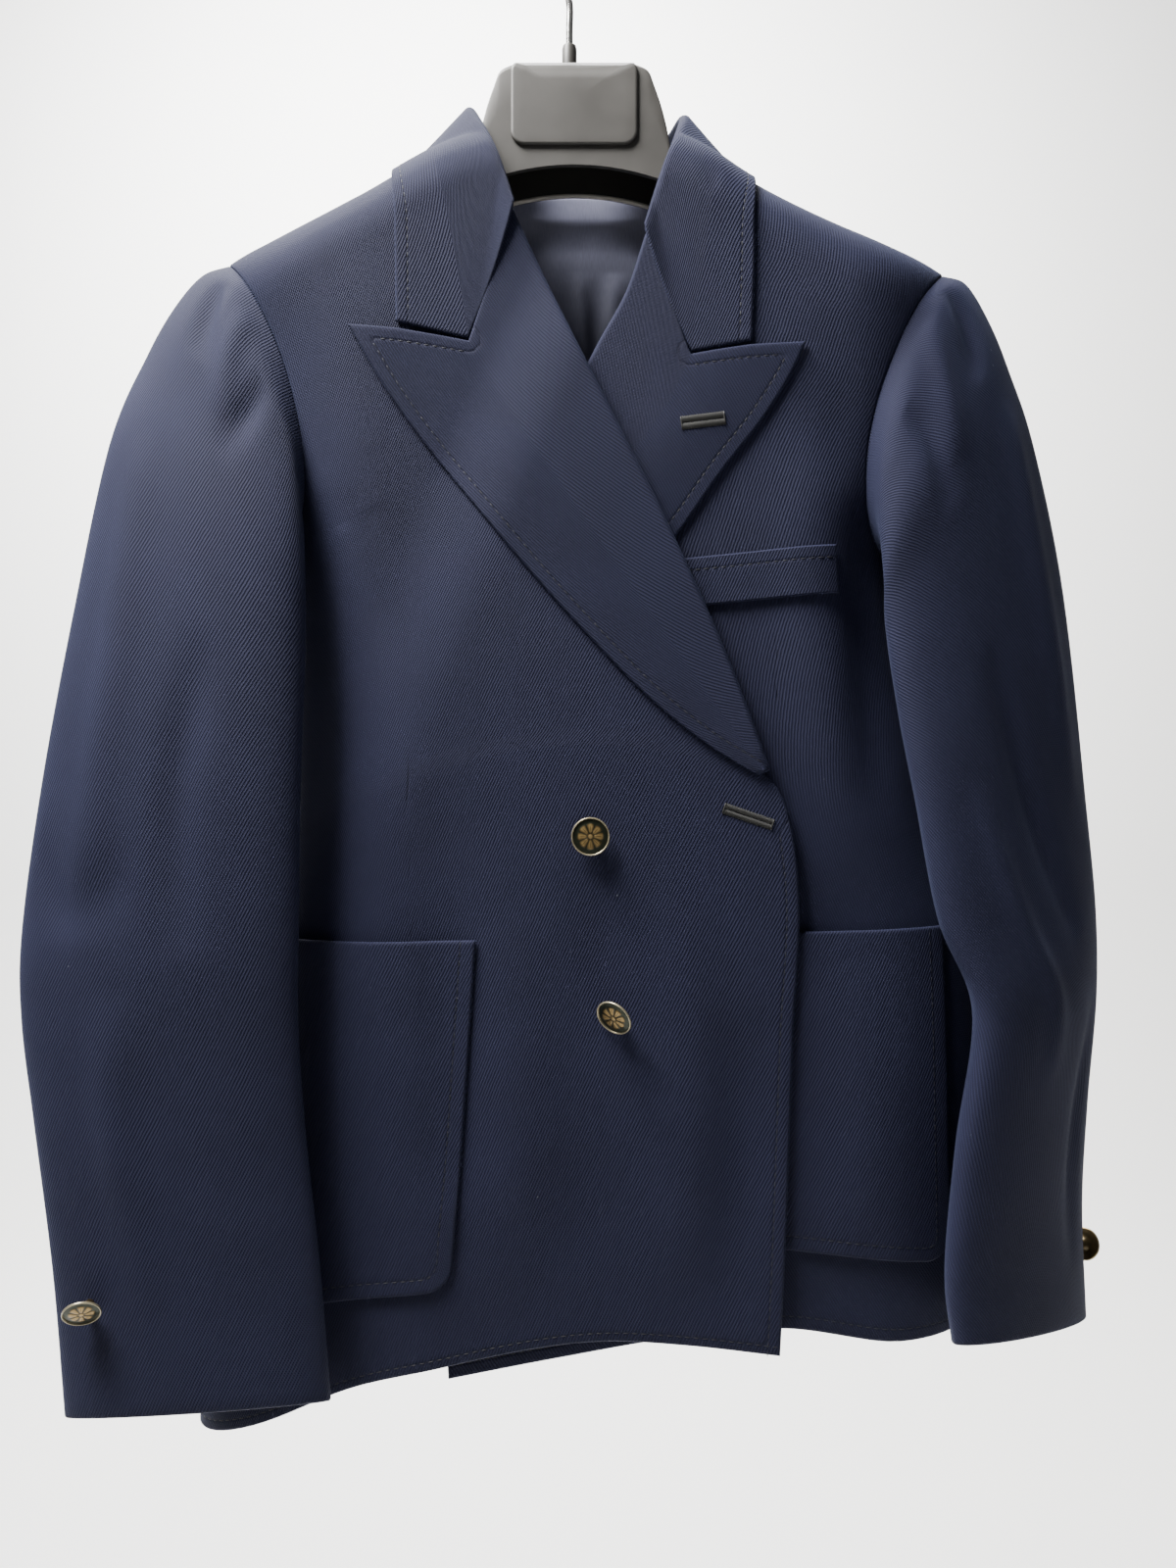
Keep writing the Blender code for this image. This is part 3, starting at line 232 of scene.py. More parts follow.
LEFT_LAPEL_EDGE = (
    (0.1007, -0.2370),
    (0.0974, -0.2446),
    (0.0830, -0.2689),
    (0.0657, -0.2912),
    (0.0471, -0.3175),
    (-0.0080, -0.3800),
    (-0.0480, -0.4220),
)
LEFT_LAPEL_TOP = ((0.0327, -0.1900), (0.0512, -0.2424), (0.0768, -0.2388), (0.1007, -0.2370))

# Collar, from the right gorge round the back of the neck to the left one: the fold line x, y, z,
# the neck seam x, y, z, and the fall's edge x, y, z before it is laid on the body
COLLAR_ROWS = (
    (-0.0240, -0.0470, -0.1790, -0.0262, -0.0415, -0.1805, -0.0735, -0.046, -0.2290),
    (-0.0318, -0.0400, -0.1530, -0.0360, -0.0400, -0.1590, -0.0740, -0.044, -0.1960),
    (-0.0392, -0.0230, -0.1310, -0.0440, -0.0260, -0.1430, -0.0745, -0.036, -0.1690),
    (-0.0440, -0.0020, -0.1145, -0.0492, 0.0000, -0.1340, -0.0770, 0.000, -0.1480),
    (-0.0330, 0.0300, -0.1130, -0.0375, 0.0330, -0.1425, -0.0600, 0.040, -0.1680),
    (0.0040, 0.0430, -0.1125, 0.0040, 0.0405, -0.1475, 0.0040, 0.046, -0.1640),
    (0.0400, 0.0300, -0.1140, 0.0445, 0.0330, -0.1440, 0.0680, 0.040, -0.1700),
    (0.0503, -0.0020, -0.1175, 0.0555, 0.0000, -0.1355, 0.0800, 0.000, -0.1500),
    (0.0462, -0.0230, -0.1380, 0.0510, -0.0260, -0.1480, 0.0785, -0.036, -0.1720),
    (0.0400, -0.0385, -0.1620, 0.0447, -0.0400, -0.1665, 0.0787, -0.044, -0.2010),
    (0.0327, -0.0470, -0.1890, 0.0350, -0.0415, -0.1905, 0.0775, -0.046, -0.2370),
)
COLLAR_SECTIONS = 29
COLLAR_END_SECTIONS = 7
COLLAR_DROP = 0.003

# Sleeves, ring by ring from the armhole: the outer fold x, y, z, the inner fold x, y, z, half the
# thickness, and the share of the armhole's own form that the ring keeps
RIGHT_SLEEVE = (
    (-0.1570, 0.000, -0.1870, -0.1160, -0.030, -0.3000, 0.024, 1.00),
    (-0.1690, -0.001, -0.1925, -0.1145, -0.040, -0.3060, 0.024, 0.86),
    (-0.1795, -0.006, -0.2085, -0.1120, -0.045, -0.3160, 0.023, 0.66),
    (-0.1895, -0.012, -0.2320, -0.1105, -0.050, -0.3300, 0.022, 0.44),
    (-0.2014, -0.025, -0.2749, -0.1095, -0.055, -0.3500, 0.020, 0.20),
    (-0.2113, -0.040, -0.3513, -0.1092, -0.060, -0.3850, 0.018, 0.05),
    (-0.2195, -0.052, -0.4230, -0.1097, -0.064, -0.4300, 0.017, 0.0),
    (-0.2240, -0.061, -0.4850, -0.1095, -0.067, -0.4800, 0.016, 0.0),
    (-0.2224, -0.065, -0.5208, -0.1093, -0.069, -0.5200, 0.015, 0.0),
    (-0.2165, -0.067, -0.5620, -0.1060, -0.070, -0.5650, 0.014, 0.0),
    (-0.2080, -0.069, -0.6220, -0.1000, -0.071, -0.6180, 0.013, 0.0),
    (-0.2026, -0.070, -0.6805, -0.0952, -0.072, -0.6726, 0.013, 0.0),
)
LEFT_SLEEVE = (
    (0.1713, 0.000, -0.1913, 0.1292, -0.030, -0.3020, 0.024, 1.00),
    (0.1820, 0.000, -0.1960, 0.1300, -0.041, -0.3080, 0.024, 0.86),
    (0.1925, 0.000, -0.2140, 0.1302, -0.048, -0.3200, 0.023, 0.66),
    (0.2010, 0.000, -0.2360, 0.1308, -0.053, -0.3360, 0.022, 0.44),
    (0.2120, 0.000, -0.2700, 0.1320, -0.054, -0.3560, 0.020, 0.20),
    (0.2240, -0.002, -0.3350, 0.1370, -0.058, -0.3920, 0.018, 0.05),
    (0.2320, -0.005, -0.4250, 0.1440, -0.062, -0.4300, 0.017, 0.0),
    (0.2370, -0.004, -0.4800, 0.1534, -0.065, -0.4810, 0.017, 0.0),
    (0.2370, -0.002, -0.5200, 0.1680, -0.067, -0.5190, 0.016, 0.0),
    (0.2340, -0.002, -0.5700, 0.1600, -0.068, -0.5720, 0.015, 0.0),
    (0.2320, -0.003, -0.6180, 0.1545, -0.069, -0.6220, 0.014, 0.0),
    (0.2340, -0.004, -0.6690, 0.1570, -0.069, -0.6520, 0.013, 0.0),
)
FOLD_PLACE_ON_ARMHOLE = 0.74
SEAM_TURN = 0.42
UNDERARM_ANGLE = math.pi + 0.6
SLEEVE_CLEARANCE = 0.0028
CUFF_LIFT = 0.0045
CUFF_LIFT_POWER = 6
LAID_RINGS = 9
LAID_RING_BLEND = 4.0
UNDERARM_SPREAD = 0.75
UNDERARM_SEAM_SPREAD = 0.5
SEAM_PULL = 1.2
SEAM_SINK = 0.0003
SEAM_EASE = 0.6
LET_GO_DEPTH = 0.012
LET_GO_RINGS = 1.5
SLEEVE_SECTIONS = 18

# Pockets and welt: four corners x and z, clockwise from the top on the wearer's right
RIGHT_POCKET = ((-0.1280, -0.4915), (-0.0387, -0.4900), (-0.0480, -0.6335), (-0.1290, -0.6440))
LEFT_POCKET = ((0.0680, -0.4880), (0.1600, -0.4860), (0.1630, -0.6300), (0.0700, -0.6190))
BREAST_WELT = ((0.0479, -0.3295), (0.1130, -0.3229), (0.1142, -0.3439), (0.0520, -0.3500))
POCKET_CORNER = 0.012

# Lining leaf in the neck
LINING_WIDTH = 0.118
LINING_TOP_Z = -0.1375
LINING_BEND_Z = -0.1475
LINING_NARROWING = 0.40
LINING_BOW = 0.008
LINING_BOTTOM_Z = -0.2900
LINING_CLEARANCE = 0.0022
LINING_WALL = 0.0010

# Buttons
BUTTON_RADIUS = 0.0080
SHANK_RADIUS = 0.0022
SHANK_LENGTH = 0.0022
LONG_SHANK_LENGTH = 0.0052
BUTTON_STAND_OFF = 0.0004

# Places of the buttons, and how far each leans to the side and up or down, in degrees. A spot on
# a cuff is a share of the sleeve's length and of the turn round it
UPPER_BUTTON_PLACE = (0.0088, -0.4469)
LOWER_BUTTON_PLACE = (0.0190, -0.5206)
UPPER_BUTTON_LEAN = (0.0, 0.0)
LOWER_BUTTON_LEAN = (36.0, -32.0)
CUFF_BUTTON_RADIUS = 0.0073
RIGHT_CUFF_BUTTON_SPOT = (0.929, 0.140)
LEFT_CUFF_BUTTON_SPOT = (0.946, 0.0)
RIGHT_CUFF_BUTTON_LEAN = (-31.0, -38.0)
LEFT_CUFF_BUTTON_LEAN = (0.0, -18.0)

# Hanger
PLASTIC = 0.0026
HANGER_CENTRE_X = 0.0018
HEAD_TOP_Z = -0.0975
HEAD_HALF_DEPTH = 0.0155
HEAD_ROUND = 0.0060
HANGER_RIGHT_END = -0.1390
HANGER_LEFT_END = 0.1510
HANGER_ARM_DROP = 0.019
HANGER_LIP = 0.004
HANGER_CLEARANCE = 0.0015
ARM_START = 0.050
ARM_BLEND = 0.016
ARCH_Z = -0.1465
ARCH_FALL = 0.0110
PLATE_HALF_WIDTH = 0.0285
PLATE_HEIGHT = 0.0335
PLATE_TOP_Z = -0.1045
PLATE_THICKNESS = 0.0014
PLATE_CORNER = 0.0060

# Top of the hanger's head and neck: distance from its centre, height
HANGER_TOP = (
    (0.0000, HEAD_TOP_Z),
    (0.0120, HEAD_TOP_Z),
    (0.0290, -0.0978),
    (0.0332, -0.1000),
    (0.0360, -0.1065),
    (0.0393, -0.1160),
    (0.0422, -0.1275),
    (0.0446, -0.1395),
    (0.0488, -0.1450),
    (0.0560, -0.1462),
)

# Hook
WIRE_RADIUS = 0.0016
HOOK_BEND_RADIUS = 0.0235
HOOK_STEM_X = -0.0006
FERRULE_RADIUS = 0.0034
FERRULE_HEIGHT = 0.0085
HOOK_STEM_TOP_Z = -0.0640
HOOK_BEND_OFFSET = -0.0035
HOOK_BEND_RISE = 0.0120
HOOK_TURN_START = 215
HOOK_TURN_END = -30
HOOK_TURN_POINTS = 18

# Grids of the fronts and the back
CURVED_COLUMNS = 16
SHOULDER_ROWS = 12
ARMHOLE_ROWS = 20
SIDE_ROWS = 56
FLAT_COLUMNS = 44

# Cut edges, and the layers that lie on the fronts
RIM_REACH = 0.0012
ROUNDED = 0.38
EDGE_SOFTENING = 0.12
LAID_GAP = 0.0004
LAPEL_BELLY = 0.0012
POCKET_PUFF = 0.0016
WELT_PUFF = 0.0004
LINING_CROWN = 0.0040
FOLD_DEPTH = 1.5

# The body form's slope, and how cloth is pushed clear of it
SLOPE_STEP = 2e-4
PUSH_ROUNDS = 8
LONGEST_PUSH = 0.01

# Rows of stitches: how far each keeps from its edge, and the size of a stitch
BREAK_Z = -0.426
EDGE_INSET = 0.0055
HEM_INSET = 0.0055
COLLAR_INSET = 0.0055
POCKET_INSET = 0.0062
WELT_INSET = 0.0055
WELT_STITCH_RISE = 0.0003
STITCH_LENGTH = 0.0026
STITCH_SPACE = 0.0011
STITCH_RADIUS = 0.00022
STITCH_SINK = 0.00012
BUTTONHOLE_PITCH = 0.00042
FAR = 1.0

# Seams of the collar to the lapels, each with its lower corner, and of the sleeves
GORGE_CORNERS = ((-0.0428, -0.0460, -0.2362), (0.0518, -0.0460, -0.2418))
GORGE_REACH = 0.0011
GORGE_TOP_REACH = 0.0022
COLLAR_LIFT = 0.0007
SEAM_REACH = -0.0002

# Details of the hanger that only the looks have
HEAD_REACH = 0.056
PANEL_TOP_Z = -0.0992
PANEL_TOP_ROUND = 0.0012
FERRULE_EXTRA = 0.0055
BEAD_RADIUS = 0.0010
# How many times brighter than the moulding the arch's bead is coloured: a painted highlight along the back
# wall's lower edge
PAINTED_HIGHLIGHT_TONE = 12.0

# Cloth: ribs of the twill and the depth of its relief, colours from dark to light
TWILL_ANGLE = 64.0
TWILL_PERIOD = 0.0012
YARN_PERIOD = 0.0009
TWILL_RELIEF = 0.00018
STITCH_GROOVE = 0.0006
SEAM_GROOVE = 0.0006
# The colours follow the rib height as well: a painted highlight on the rib tops and painted shade in their
# hollows
CLOTH_DARK = (0.0026, 0.0029, 0.0085)
CLOTH_MIDDLE = (0.0078, 0.0086, 0.0235)
CLOTH_LIGHT = (0.022, 0.0245, 0.058)
GROOVE_COLOUR = (0.25, 0.25, 0.3)
LINT_COLOUR = (0.16, 0.17, 0.20)

# Darts, as lines seen from the front
RIGHT_DART = ((-0.0685, -0.3560), (-0.0675, -0.4100), (-0.0660, -0.4700), (-0.0650, -0.4900))
LEFT_DART = ((0.0880, -0.3590), (0.0880, -0.3850), (0.0885, -0.4060))

# Folds: height, width, and the line that each follows, in x and z
FRONT_RIGHT_FOLDS = (
    (-0.0022, 0.012, ((-0.105, -0.300), (-0.110, -0.380), (-0.112, -0.470))),
    (0.0014, 0.020, ((-0.086, -0.200), (-0.090, -0.290), (-0.088, -0.350))),
    (-0.0016, 0.016, ((-0.060, -0.420), (-0.052, -0.520), (-0.050, -0.600))),
    (0.0018, 0.018, ((-0.030, -0.480), (-0.020, -0.560), (-0.024, -0.650))),
    (-0.0010, 0.010, ((0.006, -0.455), (0.014, -0.490), (0.020, -0.515))),
    (0.0012, 0.014, ((0.040, -0.460), (0.052, -0.540), (0.050, -0.640))),
    (-0.0012, 0.014, ((0.070, -0.520), (0.072, -0.590), (0.066, -0.650))),
)
FRONT_LEFT_FOLDS = (
    (-0.0024, 0.010, ((0.124, -0.300), (0.128, -0.380), (0.132, -0.440))),
    (0.0016, 0.018, ((0.104, -0.280), (0.108, -0.380), (0.112, -0.480))),
    (-0.0014, 0.014, ((0.112, -0.220), (0.116, -0.260), (0.114, -0.300))),
    (0.0014, 0.016, ((0.120, -0.500), (0.128, -0.570), (0.122, -0.640))),
)
BACK_FOLDS = (
    (-0.0020, 0.016, ((-0.085, -0.230), (-0.092, -0.330), (-0.098, -0.430))),
    (0.0018, 0.020, ((-0.055, -0.250), (-0.060, -0.400), (-0.056, -0.560))),
    (-0.0018, 0.018, ((0.052, -0.380), (0.060, -0.500), (0.056, -0.640))),
    (-0.0020, 0.016, ((0.098, -0.240), (0.108, -0.330), (0.116, -0.420))),
    (0.0020, 0.022, ((0.090, -0.420), (0.100, -0.540), (0.098, -0.640))),
    (0.0016, 0.020, ((-0.100, -0.500), (-0.104, -0.580), (-0.100, -0.650))),
)
LINING_FOLDS = (
    (0.0022, 0.005, ((-0.018, -0.172), (-0.014, -0.215), (-0.006, -0.262))),
    (0.0018, 0.004, ((0.004, -0.172), (0.006, -0.210), (0.002, -0.250))),
    (0.0024, 0.006, ((0.022, -0.172), (0.020, -0.205), (0.012, -0.255))),
    (0.0016, 0.004, ((-0.032, -0.172), (-0.026, -0.200), (-0.020, -0.235))),
)

# Sleeve folds: the line runs in turns round the sleeve (0 at the outer fold, a quarter in front)
# and shares of the sleeve's length
RIGHT_SLEEVE_FOLDS = (
    (-0.0022, 0.020, ((0.12, 0.05), (0.15, 0.13), (0.18, 0.22))),
    (0.0016, 0.022, ((0.20, 0.04), (0.22, 0.15), (0.25, 0.26))),
    (-0.0020, 0.018, ((0.30, 0.10), (0.29, 0.20), (0.27, 0.30))),
    (0.0018, 0.030, ((0.16, 0.34), (0.18, 0.50), (0.17, 0.66))),
    (-0.0020, 0.024, ((0.30, 0.44), (0.28, 0.55), (0.30, 0.66))),
    (-0.0016, 0.022, ((0.08, 0.58), (0.16, 0.62), (0.24, 0.60))),
    (0.0016, 0.026, ((0.22, 0.70), (0.20, 0.82), (0.22, 0.94))),
    (-0.0020, 0.030, ((0.66, 0.30), (0.70, 0.45), (0.68, 0.60))),
    (0.0018, 0.030, ((0.80, 0.40), (0.78, 0.60), (0.80, 0.80))),
)
LEFT_SLEEVE_FOLDS = (
    (-0.0022, 0.020, ((0.12, 0.05), (0.14, 0.14), (0.18, 0.24))),
    (0.0016, 0.022, ((0.20, 0.06), (0.24, 0.18), (0.26, 0.30))),
    (-0.0018, 0.018, ((0.32, 0.12), (0.30, 0.22), (0.30, 0.34))),
    (0.0018, 0.026, ((0.14, 0.30), (0.17, 0.44), (0.16, 0.56))),
    (-0.0026, 0.020, ((0.30, 0.46), (0.26, 0.56), (0.20, 0.66))),
    (0.0022, 0.020, ((0.36, 0.54), (0.32, 0.64), (0.28, 0.78))),
    (-0.0018, 0.024, ((0.16, 0.72), (0.18, 0.84), (0.16, 0.95))),
    (-0.0020, 0.030, ((0.66, 0.30), (0.70, 0.45), (0.68, 0.60))),
    (0.0018, 0.030, ((0.80, 0.40), (0.78, 0.60), (0.80, 0.80))),
)

# Buttonholes: both ends of each slit, in x and z
LAPEL_BUTTONHOLE = ((0.0475, -0.2726), (0.0657, -0.2702))
EDGE_BUTTONHOLE = ((0.0648, -0.4352), (0.0851, -0.4421))
BUTTONHOLE_HALF = 0.0028

# Camera, at the photograph's place: the long side of its frame is the lens's own side
CAMERA_PLACE = (0.008, -0.545, -0.425)
CAMERA_LENS = 27.045
FLOOR_Z = -1.5
SWEEP_COLOUR = (0.88, 0.875, 0.86)
WORLD_COLOUR = (0.93, 0.95, 1.0)
WORLD_STRENGTH = 0.10
KEY_PLACE = (-0.52, -0.34, 0.62)
KEY_SIZE = 0.5
KEY_POWER = 76.0
FILL_PLACE = (1.6, -1.3, -0.5)
FILL_SIZE = 1.0
FILL_POWER = 3.0
WALL_PLACE = (-0.5, 1.0, 1.5)
WALL_SIZE = 1.6
WALL_POWER = 360.0
THREAD_NAVY = (0.0045, 0.005, 0.012)
THREAD_OLIVE = (0.009, 0.0088, 0.0075)
BACKDROP_Y = 2.7


def lengths(line):
    """Distance along a line of points, at each of them."""
    return np.concatenate([[0.0], np.cumsum(np.linalg.norm(np.diff(line, axis=0), axis=1))])


def read_off(place, along, rows):
    """Every column of a row table at the places along it, straight between rows."""
    return np.stack([np.interp(place, along, rows[:, k]) for k in range(rows.shape[1])], axis=-1)


def unit(rows):
    """Directions at unit length."""
    return rows / np.maximum(np.linalg.norm(rows, axis=-1, keepdims=True), 1e-12)


def between(corners, a, t):
    """Points between four corners, a across and t down; the corners run clockwise."""
    top_left, top_right, low_right, low_left = corners
    top = (1 - a) * (1 - t) * top_left + a * (1 - t) * top_right
    return top + (1 - a) * t * low_left + a * t * low_right


def curve(rows, share):
    """Points of a row table at the given shares of its length, straight between rows."""
    rows = np.asarray(rows, float)
    along = lengths(rows)
    return read_off(share, along / along[-1], rows)


def through(rows, count):
    """Points through a row table, the same number of them between each two rows."""
    rows = np.asarray(rows, float)
    return read_off(np.linspace(0, len(rows) - 1, count), np.arange(len(rows)), rows)


def cubic(rows, slopes, low, t, span=1.0):
    """Points past the rows numbered low, on cubics whose slopes match at the rows."""
    return (
        (1 + 2 * t) * (1 - t) ** 2 * rows[low]
        + t * (1 - t) ** 2 * span * slopes[low]
        + t * t * (3 - 2 * t) * rows[low + 1]
        + t * t * (t - 1) * span * slopes[low + 1]
    )


def smooth_table(rows, count):
    """Rows of a table carried through cubics, count rows in all."""
    rows = np.asarray(rows, float)
    place = np.linspace(0, len(rows) - 1, count)
    low = np.minimum(place.astype(int), len(rows) - 2)
    return cubic(rows, np.gradient(rows, axis=0), low, (place - low)[:, None])


def smooth_rows(rows, step=0.002):
    """A table's rows joined by cubics, laid out again a step apart."""
    rows = np.asarray(rows, float)
    along = lengths(rows)
    place = np.linspace(0, along[-1], int(along[-1] / step) + 2)
    low = np.clip(np.searchsorted(along, place, side="right") - 1, 0, len(rows) - 2)
    span = (along[low + 1] - along[low])[:, None]
    return cubic(rows, np.gradient(rows, along, axis=0), low, (place - along[low])[:, None] / span, span)


def ease(t):
    """Smooth step from 0 to 1."""
    t = np.clip(t, 0.0, 1.0)
    return t * t * (3 - 2 * t)


def shoulder_z(x):
    """Height of the shoulder ridge above x, level across the neck and sloping on past the tips."""
    rows = SHOULDER_LINE
    z = np.interp(x, rows[:, 0], rows[:, 1])
    slope = (rows[1, 1] - rows[0, 1]) / (rows[1, 0] - rows[0, 0])
    z = z + np.minimum(x - rows[0, 0], 0) * slope
    return z - np.maximum(x - rows[-1, 0], 0) * slope


def side_x(z, side):
    """x of the side seam at a height; side is 1 on the wearer's right and 2 on the left."""
    rows = SIDE_LINE[::-1]
    return np.interp(z, rows[:, 0], rows[:, side])


def rounding(t):
    """Square of the share of the depth reached at t of the way in from a rounded edge."""
    t = np.minimum(t, 1.0)
    return t * (2 - t)


def depth_squared(x, z):
    """Square of the body's half depth at x and z."""
    inward = np.minimum(x - side_x(z, 1), side_x(z, 2) - x) / SIDE_ROUND
    below = (shoulder_z(x) - z) / SHOULDER_ROUND
    return HALF_DEPTH**2 * rounding(inward) * rounding(below)


def mid_y(x, z):
    """Middle plane of the body, which leans forward towards the hem on the wearer's right."""
    down = np.clip((LEAN_TOP_Z - z) / (LEAN_TOP_Z - HEM_Z), 0, 1)
    across = 0.5 - 0.5 * np.clip(x / HALF_WIDTH, -1, 1)
    return -FORWARD_LEAN * down * across


def form(points, side):
    """The body's level function, zero on its surface, for points on one side of the seams."""
    x, y, z = points[..., 0], points[..., 1], points[..., 2]
    return (y - mid_y(x, z) - side * HALF_SEAM) ** 2 - depth_squared(x, z)


def outward(points, side):
    """Unit normals of the body's level function and its slope there."""
    slope = np.zeros(points.shape)
    for axis in range(3):
        shift = np.zeros(3)
        shift[axis] = SLOPE_STEP
        slope[..., axis] = form(points + shift, side) - form(points - shift, side)
    slope /= 2 * SLOPE_STEP
    length = np.linalg.norm(slope, axis=-1, keepdims=True)
    return slope / np.maximum(length, 1e-9), length[..., 0]


def on_body(x, z, side, height=0.0):
    """Points of the front (side -1) or back (side 1) surface above x and z, raised by a height."""
    y = mid_y(x, z) + side * (HALF_SEAM + np.sqrt(np.maximum(depth_squared(x, z), 0)))
    points = np.stack([x, y, z], axis=-1)
    normals, _ = outward(points, side)
    return points + normals * np.asarray(height)[..., None], normals


def clearance(points):
    """How far points stand off the body, and the way out at each."""
    side = np.sign(points[..., 1] - mid_y(points[..., 0], points[..., 2]))
    normals, slope = outward(points, 0)
    return form(points, side) / np.maximum(slope, 1e-6), normals


def laid_clear(points, height):
    """Points pushed out until they stand at least a height off the body."""
    for _ in range(PUSH_ROUNDS):
        distance, normals = clearance(points)
        points = points + normals * np.clip(height - distance, 0, LONGEST_PUSH)[..., None]
    return points


def grid_normals(grid):
    """Unit normals of a grid of points, across its columns and rows."""
    return unit(np.cross(np.gradient(grid, axis=1), np.gradient(grid, axis=0)))


def row_drops(armhole, side, hem):
    """Heights of a panel's rows at its outer edge: the shoulder's round, the armhole, the side."""
    tip_z, underarm_z = armhole[0][1], armhole[-1][1]
    rounded = tip_z - SHOULDER_ROUND * (1 - np.cos(np.linspace(0, math.pi / 2, SHOULDER_ROWS)))
    arm_share = np.sin(np.linspace(0, math.pi / 2, ARMHOLE_ROWS + 1))[1:]
    arm = rounded[-1] + (underarm_z - rounded[-1]) * arm_share
    hem_z = np.interp(side_x(HEM_Z, side), *np.asarray(hem).T)
    return np.concatenate([rounded, arm, np.linspace(underarm_z, hem_z, SIDE_ROWS + 1)[1:]])


def outer_edge(z, armhole, side):
    """x of a panel's outer edge at a height: its armhole, and below it the side seam."""
    arm = np.asarray(armhole)[::-1]
    return np.where(z < arm[0, 1], side_x(z, side), np.interp(z, arm[:, 1], arm[:, 0]))


def back_top_z(x):
    """Height of the back's top edge: the shoulder seam, and the neck's hollow between its ends."""
    from_centre = np.abs(x - BACK_CENTRE_X) / NECK_HALF_WIDTH
    hollow = NECK_LOW_Z + (shoulder_z(x) - NECK_LOW_Z) * from_centre**2
    return np.where(from_centre < 1, hollow, shoulder_z(x))


def share_down(x, z, hem, top_z):
    """How far down from a panel's top edge to its hem a point lies."""
    return (top_z(x) - z) / (top_z(x) - np.interp(x, *np.asarray(hem).T))


def half_panel(armhole, side, hem, centre_edge, top_z):
    """x and z of a panel's grid from its outer edge to its centre edge, rows from the shoulder."""
    toward = 1 if side == 1 else -1
    z_outer = row_drops(armhole, side, hem)
    x_outer = outer_edge(z_outer, armhole, side)
    down = share_down(x_outer, z_outer, hem, top_z)
    edge = curve(centre_edge, np.linspace(0, 1, 400))
    x_centre = np.interp(down, share_down(edge[:, 0], edge[:, 1], hem, top_z), edge[:, 0])
    seam_x = side_x(z_outer, side)
    first_angle = np.arccos(1 - np.clip(toward * (x_outer - seam_x) / SIDE_ROUND, 0, 1))
    turn = np.linspace(0, 1, CURVED_COLUMNS)
    angle = first_angle[:, None] + (math.pi / 2 - first_angle[:, None]) * turn
    rounded = seam_x[:, None] + toward * SIDE_ROUND * (1 - np.cos(angle))
    across = np.linspace(0, 1, FLAT_COLUMNS + 1)[1:]
    flat = rounded[:, -1:] + (x_centre[:, None] - rounded[:, -1:]) * across
    x = np.concatenate([rounded, flat], axis=1)
    x[:, 0] = x_outer
    z = top_z(x) - down[:, None] * (top_z(x) - np.interp(x, *np.asarray(hem).T))
    return x, z


def overlap_height(x, z):
    """How far the right front stands off where the left front lies under it."""
    edge = np.asarray(LEFT_EDGE)[::-1]
    under = np.interp(z, edge[:, 1], edge[:, 0])
    return OVERLAP_RISE * ease((x - under + OVERLAP_START) / OVERLAP_RAMP)


def inset_above_break(edge, break_row, toward):
    """A centre edge moved back from the roll line, to leave room for the lapel's turn."""
    return [
        (x + (toward * ROLL_INSET if ROLL_TOP_ROW <= row < break_row else 0.0), z)
        for row, (x, z) in enumerate(edge)
    ]


def armhole_loop(armhole, side, angles):
    """The armhole's loop at the ring angles: down the front, round the underarm, up the back."""
    arc = curve(armhole, np.linspace(0, 1, 60))
    front, front_normals = on_body(arc[:, 0], arc[:, 1], -1)
    back, back_normals = on_body(arc[:, 0], arc[:, 1], 1)
    loop = np.concatenate([front, back[::-1]])
    normals = np.concatenate([front_normals, back_normals[::-1]])
    place = np.interp(angles, [0, math.pi, 2 * math.pi], [0, FOLD_PLACE_ON_ARMHOLE / 2, 1])
    along = lengths(loop)
    along /= along[-1]
    return read_off(place, along, loop), unit(read_off(place, along, normals))


def patch_grid(corners, rows, columns, corner_radius):
    """x and z of a patch between four corners, its two lower corners rounded off."""
    corners = [np.array(corner) for corner in corners]
    a = np.linspace(0, 1, columns)[None, :, None]
    t = np.linspace(0, 1, rows)[:, None, None]
    grid = between(corners, a, t)
    from_side = np.minimum(a, 1 - a)[..., 0] * np.linalg.norm(corners[1] - corners[0])
    short = np.clip(1 - from_side / max(corner_radius, 1e-6), 0, 1)
    grid[..., 1] += corner_radius * (1 - np.sqrt(1 - short**2)) * ease((t[..., 0] - 0.6) / 0.4)
    return grid


def across_axis(axis):
    """The axis at unit length, and two directions square to it and to each other."""
    axis = unit(np.asarray(axis, float))
    helper = np.array((0.0, 0.0, 1.0)) if abs(axis[2]) < 0.9 else np.array((1.0, 0.0, 0.0))
    first = unit(np.cross(helper, axis))
    return axis, first, np.cross(axis, first)


def leaning(normal, lean):
    """A direction off the cloth, leaned to the side and up by two angles in degrees."""
    normal = unit(np.asarray(normal, float))
    side = unit(np.cross(normal, (0.0, 0.0, 1.0)))
    across, rise = np.tan(np.radians(lean))
    return unit(normal + across * side + rise * np.cross(side, normal))


def creases(u, v, table):
    """Heights of soft folds: each is a bell across its own line, fading out at both ends.

    A table row is (height, width, line): a ridge where the height is above zero, else a trough.
    """
    height = np.zeros(np.broadcast(u, v).shape)
    for rise, width, line in table:
        line = smooth_rows(line, 0.0015)
        apart = (u[..., None] - line[:, 0]) ** 2 + (v[..., None] - line[:, 1]) ** 2
        share = apart.argmin(axis=-1) / (len(line) - 1)
        height += FOLD_DEPTH * rise * np.exp(-apart.min(axis=-1) / width**2) * np.sin(np.pi * share) ** 0.8
    return height


def line_distance(x, z, line):
    """Distance from points to a line of points, in the plane seen from the front."""
    line = smooth_rows(line, 0.001)
    apart = (x[..., None] - line[:, 0]) ** 2 + (z[..., None] - line[:, 1]) ** 2
    return np.sqrt(apart.min(axis=-1))


